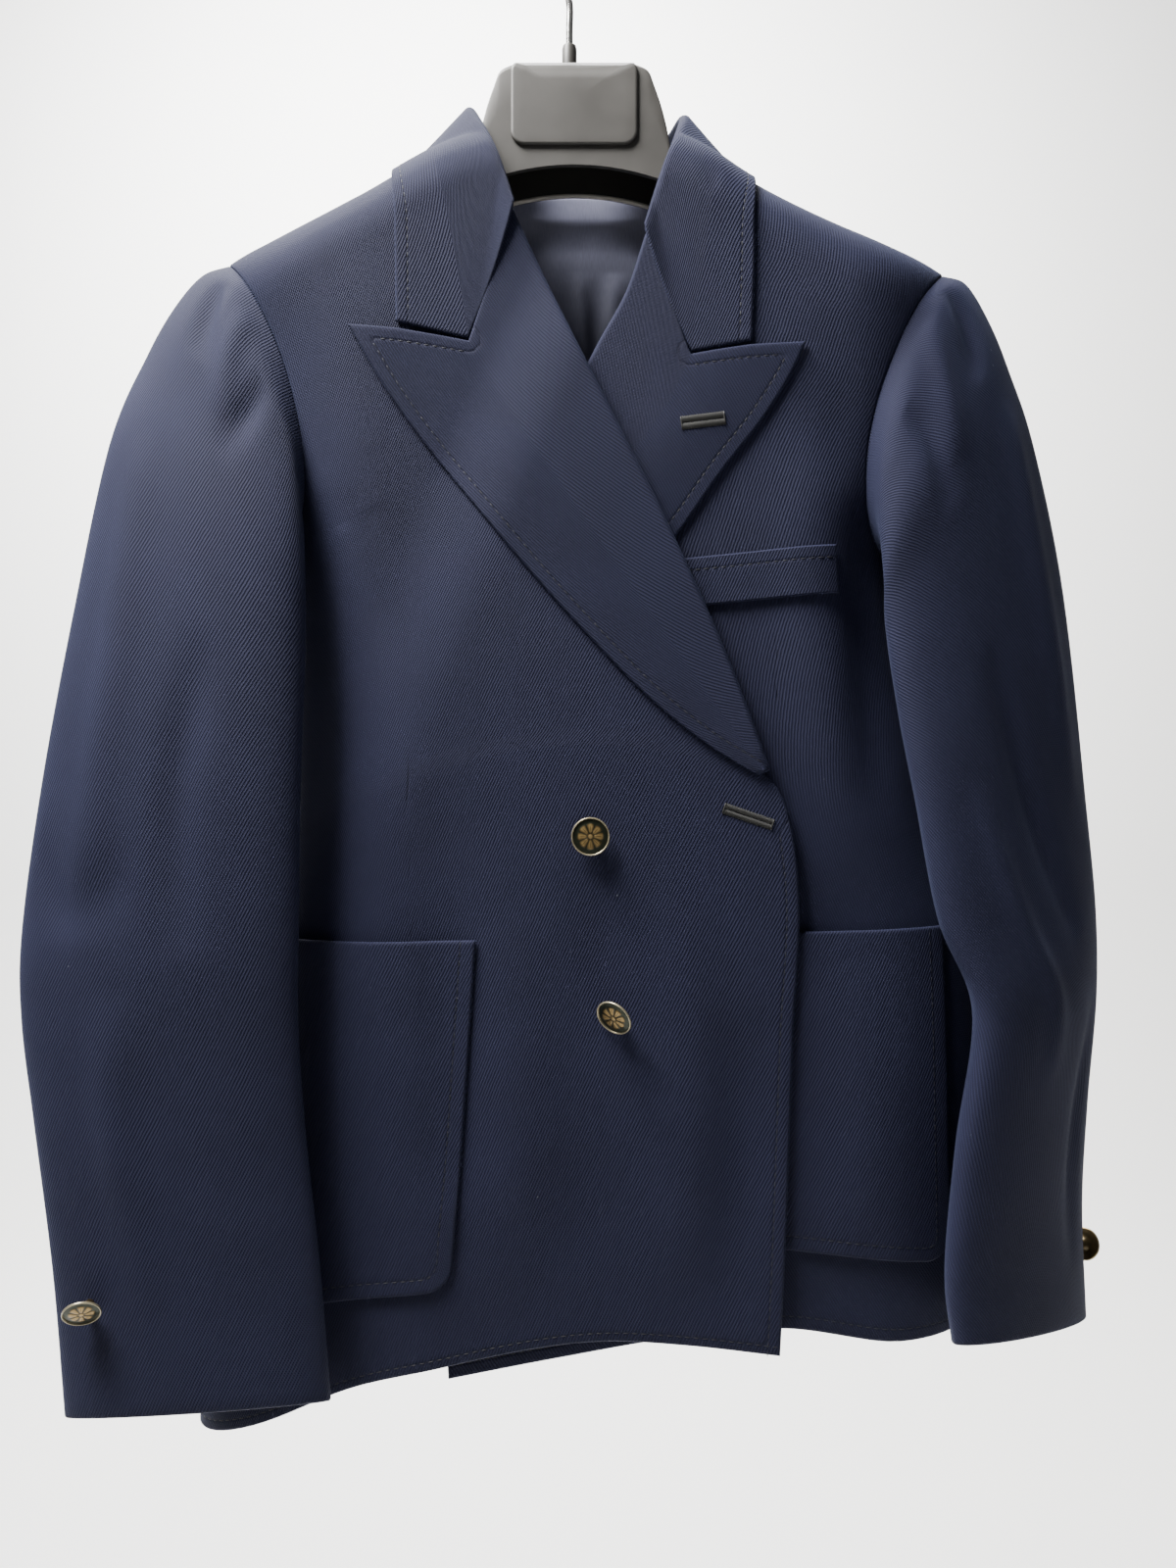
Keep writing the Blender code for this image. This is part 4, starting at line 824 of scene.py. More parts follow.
def flat_places(grid, column):
    """The cloth's own flat coordinates on a grid: arc length across from a column, and down."""
    column = column % grid.shape[1]
    across = np.linalg.norm(np.diff(grid, axis=1), axis=-1)
    u = np.concatenate([np.zeros((len(grid), 1)), np.cumsum(across, axis=1)], axis=1)
    u += grid[:, column : column + 1, 0] - u[:, column : column + 1]
    v = -lengths(grid[:, column])[:, None] + grid[0, column, 2] + 0 * u
    return np.stack([u, v], axis=-1)


def with_rims(data):
    """A grid with one more row and column set close inside each of its four edges."""
    for axis in (0, 1):
        data = np.moveaxis(data, axis, 0)
        for _ in range(2):
            step = np.linalg.norm(data[1, :, :3] - data[0, :, :3], axis=-1)
            share = np.clip(RIM_REACH / np.maximum(step, 1e-9), 0, 0.6)[:, None]
            data = np.concatenate([data[:1], (data[0] + share * (data[1] - data[0]))[None], data[1:]])[::-1]
        data = np.moveaxis(data, 0, axis)
    return data


def grid_faces(rows, columns):
    """Numbers of a grid's points, and its four-cornered faces."""
    index = np.arange(rows * columns).reshape(rows, columns)
    faces = np.stack([index[:-1, :-1], index[:-1, 1:], index[1:, 1:], index[1:, :-1]], axis=-1)
    return index, faces.reshape(-1, 4)


def rim_of(index):
    """Numbers of the points round a grid's edge, in order."""
    return np.concatenate([index[0, :-1], index[:-1, -1], index[-1, :0:-1], index[:0:-1, 0]])


def ring_faces(index):
    """Four-cornered faces between rings of points, each ring closed on itself."""
    beside = np.roll(index, -1, axis=1)
    return np.stack([index[:-1], beside[:-1], beside[1:], index[1:]], axis=-1).reshape(-1, 4)


def mesh_object(name, points, faces, finish, flat=None, values=None, closed=True):
    """A smooth object from points and four-cornered faces, turned outward where it is closed.

    It may carry the cloth's flat coordinates, and named values at its points.
    """
    faces = np.asarray(faces, np.int32)
    mesh = bpy.data.meshes.new(name)
    mesh.vertices.add(len(points))
    mesh.vertices.foreach_set("co", np.asarray(points, np.float32).ravel())
    mesh.loops.add(faces.size)
    mesh.loops.foreach_set("vertex_index", faces.ravel())
    mesh.polygons.add(len(faces))
    mesh.polygons.foreach_set("loop_start", np.arange(0, faces.size, 4, dtype=np.int32))
    mesh.update(calc_edges=True)
    if flat is not None:
        places = mesh.uv_layers.new(name="flat")
        places.data.foreach_set("uv", np.asarray(flat, np.float32)[faces.ravel()].ravel())
    for key, numbers in (values or {}).items():
        mesh.attributes.new(key, "FLOAT", "POINT").data.foreach_set("value", np.asarray(numbers, np.float32))
    mesh.validate()
    return placed(name, mesh, finish, closed)


def placed(name, mesh, finish, closed=True):
    """A mesh as a smooth object in the scene; where closed, its faces turn outward."""
    if closed:
        work = bmesh.new()
        work.from_mesh(mesh)
        bmesh.ops.delete(work, geom=[v for v in work.verts if not v.link_faces], context="VERTS")
        bmesh.ops.recalc_face_normals(work, faces=work.faces)
        work.to_mesh(mesh)
        work.free()
    mesh.shade_smooth()
    mesh.materials.append(finish)
    made = bpy.data.objects.new(name, mesh)
    bpy.context.scene.collection.objects.link(made)
    return made


def surface_with_poles(name, points, finish, worn=None):
    """An object from rings of points; a ring whose points meet in one place is closed to a pole."""
    index = np.arange(points.size // 3).reshape(points.shape[:2])
    for end in (0, -1):
        if np.ptp(points[end], axis=0).max() < 1e-9:
            index[end] = index[end, 0]
    faces = [list(dict.fromkeys(map(int, face))) for face in ring_faces(index)]
    for end in (0, -1):
        if index[end, 0] != index[end, 1]:
            faces.append([int(k) for k in index[end]])
    mesh = bpy.data.meshes.new(name)
    mesh.from_pydata([tuple(p) for p in points.reshape(-1, 3)], [], faces)
    if worn is not None:
        kept = mesh.attributes.new("worn", "FLOAT", "POINT")
        kept.data.foreach_set("value", worn.ravel().astype(np.float32))
    return placed(name, mesh, finish)


def belongs(made, node=None):
    """Fixes a piece to the part's body and hides the plain solid it stands for, if one is given."""
    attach(made, "root")
    if node:
        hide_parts(node)


def cloth_piece(
    name, node, outer, normals, finish, column, stitch=None, seam=None, wall=WALL, slot="navy_twill"
):
    """A cut of cloth: an outer grid, the same grid a wall inside it, and rounded edges between.

    Its points keep their distance from the rows of stitches and from the darts and seams.
    """
    values = [np.full(outer.shape[:2], FAR) if near is None else near for near in (stitch, seam)]
    data = np.concatenate([outer, normals, flat_places(outer, column), np.stack(values, axis=-1)], axis=-1)
    data = with_rims(data)
    face, normals, flat = data[..., 0:3], data[..., 3:6], data[..., 6:8].reshape(-1, 2)
    back = (face - wall * normals).reshape(-1, 3)
    index, squares = grid_faces(*face.shape[:2])
    rim = rim_of(index)
    nearest = index.copy()
    nearest[0], nearest[-1] = index[1], index[-2]
    nearest[:, 0], nearest[:, -1] = nearest[:, 1], nearest[:, -2]
    face = face.reshape(-1, 3)
    middle = 0.5 * (face[rim] + back[rim])
    inward = unit(face[nearest.ravel()[rim]] - face[rim])
    lifted = EDGE_SOFTENING * wall * normals.reshape(-1, 3)[rim]
    face[rim] += ROUNDED * wall * inward - lifted
    back[rim] += ROUNDED * wall * inward + lifted
    count = len(face)
    rim_index = 2 * count + np.arange(len(rim))
    after, rim_after = np.roll(rim, -1), np.roll(rim_index, -1)
    front_edge = np.stack([after, rim, rim_index, rim_after], axis=-1)
    back_edge = np.stack([rim_after, rim_index, rim + count, after + count], axis=-1)
    faces = np.concatenate([squares, squares[:, ::-1] + count, front_edge, back_edge])
    kept = {}
    for place, key in enumerate(("stitch", "seam")):
        near = data[..., 8 + place].ravel()
        kept[key] = np.concatenate([near, np.full(count, FAR), near[rim]])
    flats = np.concatenate([flat, flat, flat[rim]])
    made = mesh_object(name, np.concatenate([face, back, middle]), faces, finish, flats, kept)
    belongs(made, node)


def tube(path, radius, sides=6):
    """Points and faces of a round thread along a path, its ends open; its radius may change."""
    path = np.asarray(path, float)
    radius = np.broadcast_to(np.asarray(radius, float), (len(path),))
    ahead = unit(np.gradient(path, axis=0))
    first = np.cross(ahead, (0.0, 1.0, 0.0))
    weak = np.linalg.norm(first, axis=1) < 0.05
    first[weak] = np.cross(ahead[weak], (1.0, 0.0, 0.0))
    first = unit(first)
    turn = (np.arange(sides) * 2 * math.pi / sides)[:, None]
    spoke = np.cos(turn) * first[:, None] + np.sin(turn) * np.cross(ahead, first)[:, None]
    points = path[:, None] + radius[:, None, None] * spoke
    return points.reshape(-1, 3), ring_faces(np.arange(len(path) * sides).reshape(len(path), sides))


def closed_tube(path, radius, sides=6):
    """A tube with a fan of four-cornered faces closing each end."""
    points, faces = tube(path, radius, sides)
    count = len(points)
    fans = []
    for centre, first in ((count, 0), (count + 1, count - sides)):
        for k in range(0, sides, 2):
            fans.append([centre, first + k, first + (k + 1) % sides, first + (k + 2) % sides])
    ends = np.stack([points[:sides].mean(axis=0), points[-sides:].mean(axis=0)])
    return np.concatenate([points, ends]), np.concatenate([faces, np.array(fans)])


def joined(name, parts, finish, node=None):
    """One object from many small parts."""
    faces, start = [], 0
    for points, part_faces in parts:
        faces.append(part_faces + start)
        start += len(points)
    made = mesh_object(name, np.concatenate([points for points, _ in parts]), np.concatenate(faces), finish)
    belongs(made, node)


SHOULDER_LINE = smooth_rows(SHOULDER_SEAM)
SIDE_LINE = smooth_rows(SIDE_SEAM)
RIGHT_ARMHOLE_LINE = smooth_rows(ARMHOLE_RIGHT)
LEFT_ARMHOLE_LINE = smooth_rows(ARMHOLE_LEFT)
RIGHT_HEM_LINE = smooth_rows(RIGHT_HEM)
LEFT_HEM_LINE = smooth_rows(LEFT_HEM)
BACK_HEM_LINE = smooth_rows(BACK_HEM)
HANGER_TOP_LINE = smooth_rows(HANGER_TOP, 0.001)


def right_height(x, z):
    """How far the right front stands off the body's form: its overlap and its own folds."""
    return overlap_height(x, z) + creases(x, z, FRONT_RIGHT_FOLDS)


def left_height(x, z):
    """How far the left front stands off the body's form: its folds."""
    return creases(x, z, FRONT_LEFT_FOLDS)


SIDES = {
    "right": {
        "side": 1,
        "armhole": RIGHT_ARMHOLE_LINE,
        "height": right_height,
        "lapel": (RIGHT_ROLL, RIGHT_LAPEL_EDGE, RIGHT_LAPEL_TOP),
        "pocket": RIGHT_POCKET,
        "sleeve": (RIGHT_SLEEVE, RIGHT_SLEEVE_FOLDS),
        "cuff_button": (RIGHT_CUFF_BUTTON_SPOT, RIGHT_CUFF_BUTTON_LEAN),
    },
    "left": {
        "side": 2,
        "armhole": LEFT_ARMHOLE_LINE,
        "height": left_height,
        "lapel": (LEFT_ROLL, LEFT_LAPEL_EDGE, LEFT_LAPEL_TOP),
        "pocket": LEFT_POCKET,
        "sleeve": (LEFT_SLEEVE, LEFT_SLEEVE_FOLDS),
        "cuff_button": (LEFT_CUFF_BUTTON_SPOT, LEFT_CUFF_BUTTON_LEAN),
    },
}


def stitched(x, z, edge, inset):
    """Distance from a row of stitches that keeps an inset from an edge."""
    return line_distance(x, z, edge) - inset


def free_edge():
    """The right front's centre edge below the break."""
    return [point for point in RIGHT_EDGE if point[1] < BREAK_Z]


def make_front_panels(cloth):
    """Both fronts: the body's form raised by the overlap and by the folds of each front."""
    edge = smooth_rows(inset_above_break(RIGHT_EDGE, RIGHT_BREAK_ROW, -1))
    x, z = half_panel(RIGHT_ARMHOLE_LINE, 1, RIGHT_HEM_LINE, edge, shoulder_z)
    outer, normals = on_body(x, z, -1, right_height(x, z))
    past_break = 0.1 * ease((z - BREAK_Z + 0.01) / 0.01)
    by_edge = stitched(x, z, free_edge(), EDGE_INSET) + past_break
    stitch = np.minimum(by_edge, stitched(x, z, RIGHT_HEM_LINE, HEM_INSET))
    dart = line_distance(x, z, RIGHT_DART)
    cloth_piece("front_right_cloth", "front_right", outer, normals, cloth, -1, stitch, dart)
    edge = smooth_rows(inset_above_break(LEFT_EDGE, LEFT_BREAK_ROW, 1))
    x, z = half_panel(LEFT_ARMHOLE_LINE, 2, LEFT_HEM_LINE, edge, shoulder_z)
    outer, normals = on_body(x, z, -1, left_height(x, z))
    stitch = stitched(x, z, LEFT_HEM_LINE, HEM_INSET)
    dart = line_distance(x, z, LEFT_DART)
    cloth_piece("front_left_cloth", "front_left", outer, normals, cloth, -1, stitch, dart)


def make_back_panel(cloth):
    """The back: both halves of the body's form behind, with a centre seam and its folds."""
    centre = ((BACK_CENTRE_X, NECK_LOW_Z), (BACK_CENTRE_X, BACK_HEM[1][1]))
    x_right, z_right = half_panel(RIGHT_ARMHOLE_LINE, 1, BACK_HEM_LINE, centre, back_top_z)
    x_left, z_left = half_panel(LEFT_ARMHOLE_LINE, 2, BACK_HEM_LINE, centre, back_top_z)
    middle = x_right.shape[1] - 1
    x = np.concatenate([x_right, x_left[:, -2::-1]], axis=1)
    z = np.concatenate([z_right, z_left[:, -2::-1]], axis=1)
    x[:, middle] = BACK_CENTRE_X
    z[:, middle] = 0.5 * (z_right[:, -1] + z_left[:, -1])
    outer, normals = on_body(x, z, 1, creases(x, z, BACK_FOLDS))
    stitch = stitched(x, z, BACK_HEM_LINE, HEM_INSET)
    seam = line_distance(x, z, centre)
    cloth_piece("back_cloth", "back_panel", outer, normals, cloth, middle, stitch, seam)


def lapel_grid(of, rows=90, roll_columns=9, leaf_columns=40):
    """Outer grid of a turned lapel: a half round along the roll line, then a leaf on the front."""
    (roll, edge, top), height_of = of["lapel"], of["height"]
    down = np.linspace(0, 1, rows)
    across = np.linspace(0, 1, leaf_columns)
    roll_line = curve(smooth_rows(roll), down)
    edge_line = curve(smooth_rows(edge), down)
    top_line = through(top, leaf_columns)
    a, t = across[None, :, None], down[:, None, None]
    bottom_line = roll_line[-1] + (edge_line[-1] - roll_line[-1]) * across[:, None]
    sides = (1 - a) * roll_line[:, None] + a * edge_line[:, None]
    ends = (1 - t) * top_line[None] + t * bottom_line[None]
    flat = sides + ends - between((roll_line[0], edge_line[0], edge_line[-1], roll_line[-1]), a, t)
    toward = unit(flat[:, 2] - flat[:, 0])
    columns = []
    for angle in np.radians(np.linspace(-90, 80, roll_columns)):
        place = roll_line + toward * (ROLL_RADIUS - ROLL_RADIUS * math.cos(angle))
        height = height_of(*roll_line.T) - WALL / 2 + ROLL_RADIUS * math.sin(angle)
        columns.append(on_body(place[:, 0], place[:, 1], -1, height)[0])
    flat = flat + ROLL_RADIUS * toward[:, None] * (1 - a) ** 4
    x, z = flat[..., 0], flat[..., 1]
    low = WALL + LAID_GAP
    belly = (ROLL_RADIUS - WALL / 2 - low) * (1 - across) ** 2
    belly = belly + LAPEL_BELLY * np.sin(np.pi * across) ** 1.5 * (1 - 0.3 * down[:, None])
    leaf = on_body(x, z, -1, height_of(x, z) + low + belly)[0]
    grid = np.concatenate([np.stack(columns, axis=1), leaf], axis=1)
    normals = grid_normals(grid)
    return grid, -normals * np.sign(normals[rows // 2, -5, 1])


def make_lapels(cloth):
    """Both lapels, each with its stitched edge and peak, laid on its own front."""
    for side_name, of in SIDES.items():
        grid, normals = lapel_grid(of)
        x, z = grid[..., 0], grid[..., 2]
        _, edge, top = of["lapel"]
        stitch = np.minimum(stitched(x, z, edge, EDGE_INSET), stitched(x, z, top[1:], EDGE_INSET))
        name = f"lapel_{side_name}"
        cloth_piece(name + "_cloth", name, grid, normals, cloth, -1, stitch)


def collar_grid(rows=141, roll_columns=9, leaf_columns=28):
    """Outer grid of the collar: stand, fold and fall, its section carried round the neck."""
    table = smooth_table(COLLAR_ROWS, rows)
    fold, neck, edge = table[:, 0:3], table[:, 3:6], table[:, 6:9]
    reach = unit(edge - fold)
    normals, _ = outward(0.5 * (fold + edge), 0)
    lift = unit(normals - np.sum(normals * reach, axis=1, keepdims=True) * reach)
    centre = fold + ROLL_RADIUS * reach
    stand_top = centre - ROLL_RADIUS * lift
    columns = [neck + share * (stand_top - neck) for share in np.linspace(0, 0.9, 7)]
    for angle in np.radians(np.linspace(-90, 90, roll_columns)):
        columns.append(centre + ROLL_RADIUS * (math.sin(angle) * lift - math.cos(angle) * reach))
    start = columns[-1]
    leaf = np.linspace(0, 1, leaf_columns + 1)
    columns += [start + (edge - start) * share for share in leaf[1:]]
    grid = np.stack(columns, axis=1)
    fall = grid[:, -leaf_columns - 1 :]
    place = np.linspace(0, COLLAR_SECTIONS - 1, rows)
    for end, corner in zip((0, -1), GORGE_CORNERS):
        inward = -np.sign(corner[0])
        seam = through([tuple(start[end]), corner, tuple(edge[end])], leaf_columns + 1)
        seam[:, 0] += inward * GORGE_REACH * np.clip(np.sin(np.pi * leaf * 2), 0, 1)
        seam[:, 0] += inward * GORGE_TOP_REACH * np.clip(1 - 2 * leaf, 0, 1)
        straight = start[end] + (edge[end] - start[end]) * leaf[:, None]
        share = ease(1 - np.abs(place - place[end]) / COLLAR_END_SECTIONS)
        fall[:, 1:] += share[:, None, None] * (seam - straight)[1:]
        turned = np.outer(share, np.linspace(0, 1, roll_columns))
        grid[:, -leaf_columns - roll_columns : -leaf_columns, 0] += inward * GORGE_TOP_REACH * turned
    fall = laid_clear(fall, WALL + COLLAR_LIFT)
    distance, lifted = clearance(fall)
    excess = np.clip(distance - WALL - COLLAR_LIFT, 0, COLLAR_DROP)
    near_front = ease((np.abs(place - COLLAR_SECTIONS // 2) - 8) / 4)[:, None]
    grid[:, -leaf_columns - 1 :] = fall - lifted * (excess * near_front * ease(leaf / 0.6))[..., None]
    normals = grid_normals(grid)
    return grid, normals * np.sign(normals[rows // 2, -1, 1])


def from_last_column(grid):
    """Distance of a grid's points from its last column, along its rows."""
    steps = np.linalg.norm(np.diff(grid, axis=1), axis=-1)
    return np.concatenate([np.cumsum(steps[:, ::-1], axis=1)[:, ::-1], np.zeros((len(grid), 1))], axis=1)


def make_collar_cloth(cloth):
    """The collar with the stitching round its fall."""
    grid, normals = collar_grid()
    cloth_piece("collar_cloth", "collar", grid, normals, cloth, -1, from_last_column(grid) - COLLAR_INSET)


def sleeve_grid(of, rings=110, around=88):
    """Outer grid of a sleeve from its armhole to its cuff, and its normals."""
    table, folds = of["sleeve"]
    table = smooth_table(table, rings)
    angles = np.linspace(0, 2 * math.pi, around + 1)
    loop, loop_normals = armhole_loop(of["armhole"], of["side"], angles)
    outer_fold, inner_fold = table[:, None, 0:3], table[:, None, 3:6]
    half, share = table[:, None, 6:7], table[:, None, 7:8]
    axis = outer_fold - inner_fold
    front = np.broadcast_to(np.array((0.0, -1.0, 0.0)), axis.shape)
    along = np.sum(front * axis, -1, keepdims=True) / np.sum(axis * axis, -1, keepdims=True)
    front = unit(front - axis * along)
    turn = angles[None, :, None]
    section = 0.5 * (outer_fold + inner_fold) + 0.5 * axis * np.cos(turn) + half * front * np.sin(turn)
    down = np.linspace(0, 1, rings)[:, None] + 0 * angles
    section[..., 2] += CUFF_LIFT * down**CUFF_LIFT_POWER * np.sin(angles)
    grid = section + share * (loop - section[0])
    place = np.linspace(0, SLEEVE_SECTIONS - 1, rings)
    near = place < LAID_RINGS
    from_underarm = (angles - UNDERARM_ANGLE) ** 2
    raised = np.exp(-from_underarm / UNDERARM_SPREAD**2)
    raised = np.maximum(ease(place[near, None] / LAID_RING_BLEND), raised)
    let_go = LET_GO_DEPTH * ease((place[near, None] - LAID_RINGS) / LET_GO_RINGS + 1)
    grid[near] = laid_clear(grid[near], (WALL + SLEEVE_CLEARANCE) * raised - let_go)
    away = unit(np.cross(np.gradient(loop, axis=0), loop_normals))
    away *= np.sign(np.sum(away * (grid[4] - loop)))
    low = np.exp(-from_underarm / UNDERARM_SEAM_SPREAD**2)
    seam = loop + SEAM_REACH * away - SEAM_SINK * (1 - low)[:, None] * loop_normals
    past_seam = ease(place / SEAM_PULL)[:, None, None]
    grid = (1 - past_seam) * (seam[None] + (grid - grid[:1]) * SEAM_EASE) + past_seam * grid
    normals = grid_normals(grid)
    normals[:, 0] = normals[:, -1] = unit(normals[:, 0] + normals[:, -1])
    if np.sum(normals * (grid - grid.mean(axis=1, keepdims=True))) < 0:
        normals = -normals
    grid = grid + creases(angles / (2 * math.pi) + 0 * down, down, folds)[..., None] * normals
    normals[0] = loop_normals
    return grid, normals


def make_sleeve_cloths(cloth):
    """Both two-piece sleeves, cut along the front and the back seam of each."""
    for side_name, of in SIDES.items():
        grid, normals = sleeve_grid(of)
        around = grid.shape[1] - 1
        cut_front = int(round((math.pi + SEAM_TURN) / (2 * math.pi) * around))
        cut_back = around - 4
        upper = [*range(cut_back, around), *range(cut_front + 1)]
        under = list(range(cut_front, cut_back + 1))
        for part, columns in (("upper", upper), ("under", under)):
            outer = grid[:, columns].copy()
            for edge, beside in ((0, 1), (-1, -2)):
                outer[:, edge] += HALF_SEAM * 1.2 * unit(outer[:, beside] - outer[:, edge])
            name = f"sleeve_{side_name}_{part}"
            cloth_piece(name + "_cloth", name, outer, normals[:, columns], cloth, len(columns) // 2)


def laid_patch(corners, rows, columns, corner_radius, height_of, puff):
    """Outer grid of a patch laid on a front, swelling to its middle, with its x and z."""
    grid = patch_grid(corners, rows, columns, corner_radius)
    x, z = grid[..., 0], grid[..., 1]
    a = np.linspace(0, 1, columns)[None, :]
    t = np.linspace(0, 1, rows)[:, None]
    swell = puff * np.sin(np.pi * a) ** 0.6 * (0.35 + 0.65 * np.cos(np.pi * t / 2) ** 1.5)
    return *on_body(x, z, -1, height_of(x, z) + WALL + LAID_GAP + swell), x, z


def pocket_patch(of):
    """Outer grid of a patch pocket."""
    return laid_patch(of["pocket"], 70, 56, POCKET_CORNER, of["height"], POCKET_PUFF)


def patch_outline(corners):
    """The side and lower edges of a pocket, for the stitches that keep an inset from them."""
    grid = patch_grid(corners, 40, 60, POCKET_CORNER)
    return np.concatenate([grid[:, 0], grid[-1, 1:-1], grid[::-1, -1]])


def make_pockets(cloth):
    """Both patch pockets and the breast welt, stitched round and laid on the fronts."""
    for side_name, of in SIDES.items():
        outer, normals, x, z = pocket_patch(of)
        stitch = stitched(x, z, patch_outline(of["pocket"]), POCKET_INSET)
        name = f"pocket_{side_name}"
        cloth_piece(name + "_cloth", name, outer, normals, cloth, 28, stitch)
    outer, normals, x, z = laid_patch(BREAST_WELT, 24, 60, 0.0, left_height, WELT_PUFF)
    stitch = stitched(x, z, BREAST_WELT[0:2], WELT_INSET)
    cloth_piece("breast_welt_cloth", "breast_welt", outer, normals, cloth, 30, stitch)


def make_lining_cloth(satin):
    """The lining inside the back of the neck, with the soft vertical folds of loose satin."""
    a = np.linspace(-1, 1, 90)[None, :]
    t = np.linspace(0, 1, 90)[:, None]
    z = LINING_TOP_Z + (LINING_BOTTOM_Z - LINING_TOP_Z) * t + 0 * a
    risen = ease((z - 2 * LINING_BEND_Z + LINING_TOP_Z) / (2 * (LINING_TOP_Z - LINING_BEND_Z)))
    x = BACK_CENTRE_X + 0.5 * LINING_WIDTH * a * (1 - LINING_NARROWING * risen)
    form_z = np.minimum(z, LINING_BEND_Z)
    inside = WALL + LINING_CLEARANCE + np.abs(creases(x, z, LINING_FOLDS))
    outer, normals = on_body(x, form_z, 1, -inside)
    outer[..., 2] += z - form_z + LINING_CROWN * risen * (1 - a**2)
    outer[..., 1] -= LINING_BOW * risen * a**2
    place = ("lining_cloth", "lining_back")
    cloth_piece(*place, outer, normals, satin, 35, wall=LINING_WALL, slot="lining_satin")


def button_face(radius, shank, sides=96):
    """A shank button's rings of radius and height over its head, its face in relief, and its wear.

    The face is a shallow bowl with a rosette: eight broad petals round a boss, their height a
    cosine of the turn times a plateau of the radius, inside a thin polished rim.
    """
    turn = np.linspace(0, 2 * math.pi, sides, endpoint=False)
    neck = [(0.0, -shank), (SHANK_RADIUS, -shank), (SHANK_RADIUS, 0.0)]
    back = [(0.60 * radius, 0.0003), (0.92 * radius, 0.0008)]
    for angle in np.radians(np.linspace(-60, 200, 12)):
        back.append((0.96 * radius + 0.04 * radius * math.cos(angle), 0.0015 + 0.0005 * math.sin(angle)))
    share = np.linspace(0.91, 0.0, 34)
    profile = np.array(neck + back)
    r = np.concatenate([profile[:, 0], share * radius])[:, None] + 0 * turn
    h = np.concatenate([profile[:, 1], 0.00135 + 0.0007 * (1 - (share / 0.91) ** 2)])[:, None] + 0 * turn
    s = share[:, None]
    petal = (0.5 + 0.5 * np.cos(8 * turn)) ** 0.35 * np.exp(-(((s - 0.42) / 0.25) ** 6))
    vein = -0.5 * np.exp(-((np.sin(4 * turn) / 0.07) ** 2)) * np.exp(-(((s - 0.40) / 0.16) ** 4))
    boss = 1.1 * np.exp(-((s / 0.13) ** 4))
    relief = petal + vein + boss
    face = len(profile)
    h[face:] += 0.00026 * relief
    worn = np.full(r.shape, 0.30)
    worn[len(neck) + 2 : face] = 1.0
    worn[face:] = 0.72 * np.clip(relief, 0, 1)
    return np.stack([r * np.cos(turn), r * np.sin(turn), h], axis=-1), worn, len(neck) - 1


def make_button_set(brass):
    """The four shank buttons: necks straight out of the cloth, and heads that lean as seen."""
    spots = []
    for name, place, lean in (
        ("front_button_upper", UPPER_BUTTON_PLACE, UPPER_BUTTON_LEAN),
        ("front_button_lower", LOWER_BUTTON_PLACE, LOWER_BUTTON_LEAN),
    ):
        x, z = np.array([place[0]]), np.array([place[1]])
        points, normals = on_body(x, z, -1, right_height(x, z) + BUTTON_STAND_OFF)
        spots.append((name, points[0], normals[0], lean, BUTTON_RADIUS))
    for side_name, of in SIDES.items():
        (down, round_share), lean = of["cuff_button"]
        grid, normals = sleeve_grid(of)
        ring = int(round(down * (len(grid) - 1)))
        column = int(round(round_share * (grid.shape[1] - 1)))
        normal = normals[ring, column]
        place = grid[ring, column] + BUTTON_STAND_OFF * normal
        spots.append((f"cuff_button_{side_name}", place, normal, lean, CUFF_BUTTON_RADIUS))
    for name, place, normal, lean, radius in spots:
        shank = LONG_SHANK_LENGTH if any(lean) else SHANK_LENGTH
        local, worn, neck = button_face(radius, shank)
        points = np.empty(local.shape)
        for rows, axis in ((slice(0, neck), normal), (slice(neck, None), leaning(normal, lean))):
            axis, first, second = across_axis(axis)
            spread = local[rows]
            points[rows] = spread[..., :1] * first + spread[..., 1:2] * second + spread[..., 2:] * axis
        points += place + (GAP + shank) * normal
        belongs(surface_with_poles(name + "_relief", points, brass, worn), name)


def section_place(x, angle, shrink):
    """A point of the hanger's upside-down U at x; its arms follow the inside of the shoulders."""
    from_centre = abs(x - HANGER_CENTRE_X)
    widths, heights = HANGER_TOP_LINE.T
    arm_share = float(ease((from_centre - ARM_START) / ARM_BLEND))
    top = np.interp(from_centre, widths, heights)
    drop = (HEAD_ROUND - 0.3 * shrink) * (1 - math.cos(angle))
    head = np.array((x, (HEAD_HALF_DEPTH - shrink) * math.sin(angle), top - shrink - drop))
    if arm_share == 0.0:
        return head, arm_share
    side = -1 if angle < 0 else 1
    level = shoulder_z(np.array([x])) - min(SHOULDER_ROUND * (1 - math.cos(angle)), HANGER_ARM_DROP)
    arm = on_body(np.array([x]), level, side, -(WALL + HANGER_CLEARANCE + shrink))[0][0]
    arm[0] = x
    if abs(angle) < 1e-9:
        arm[1] = 0.0
    return (1 - arm_share) * head + arm_share * arm, arm_share


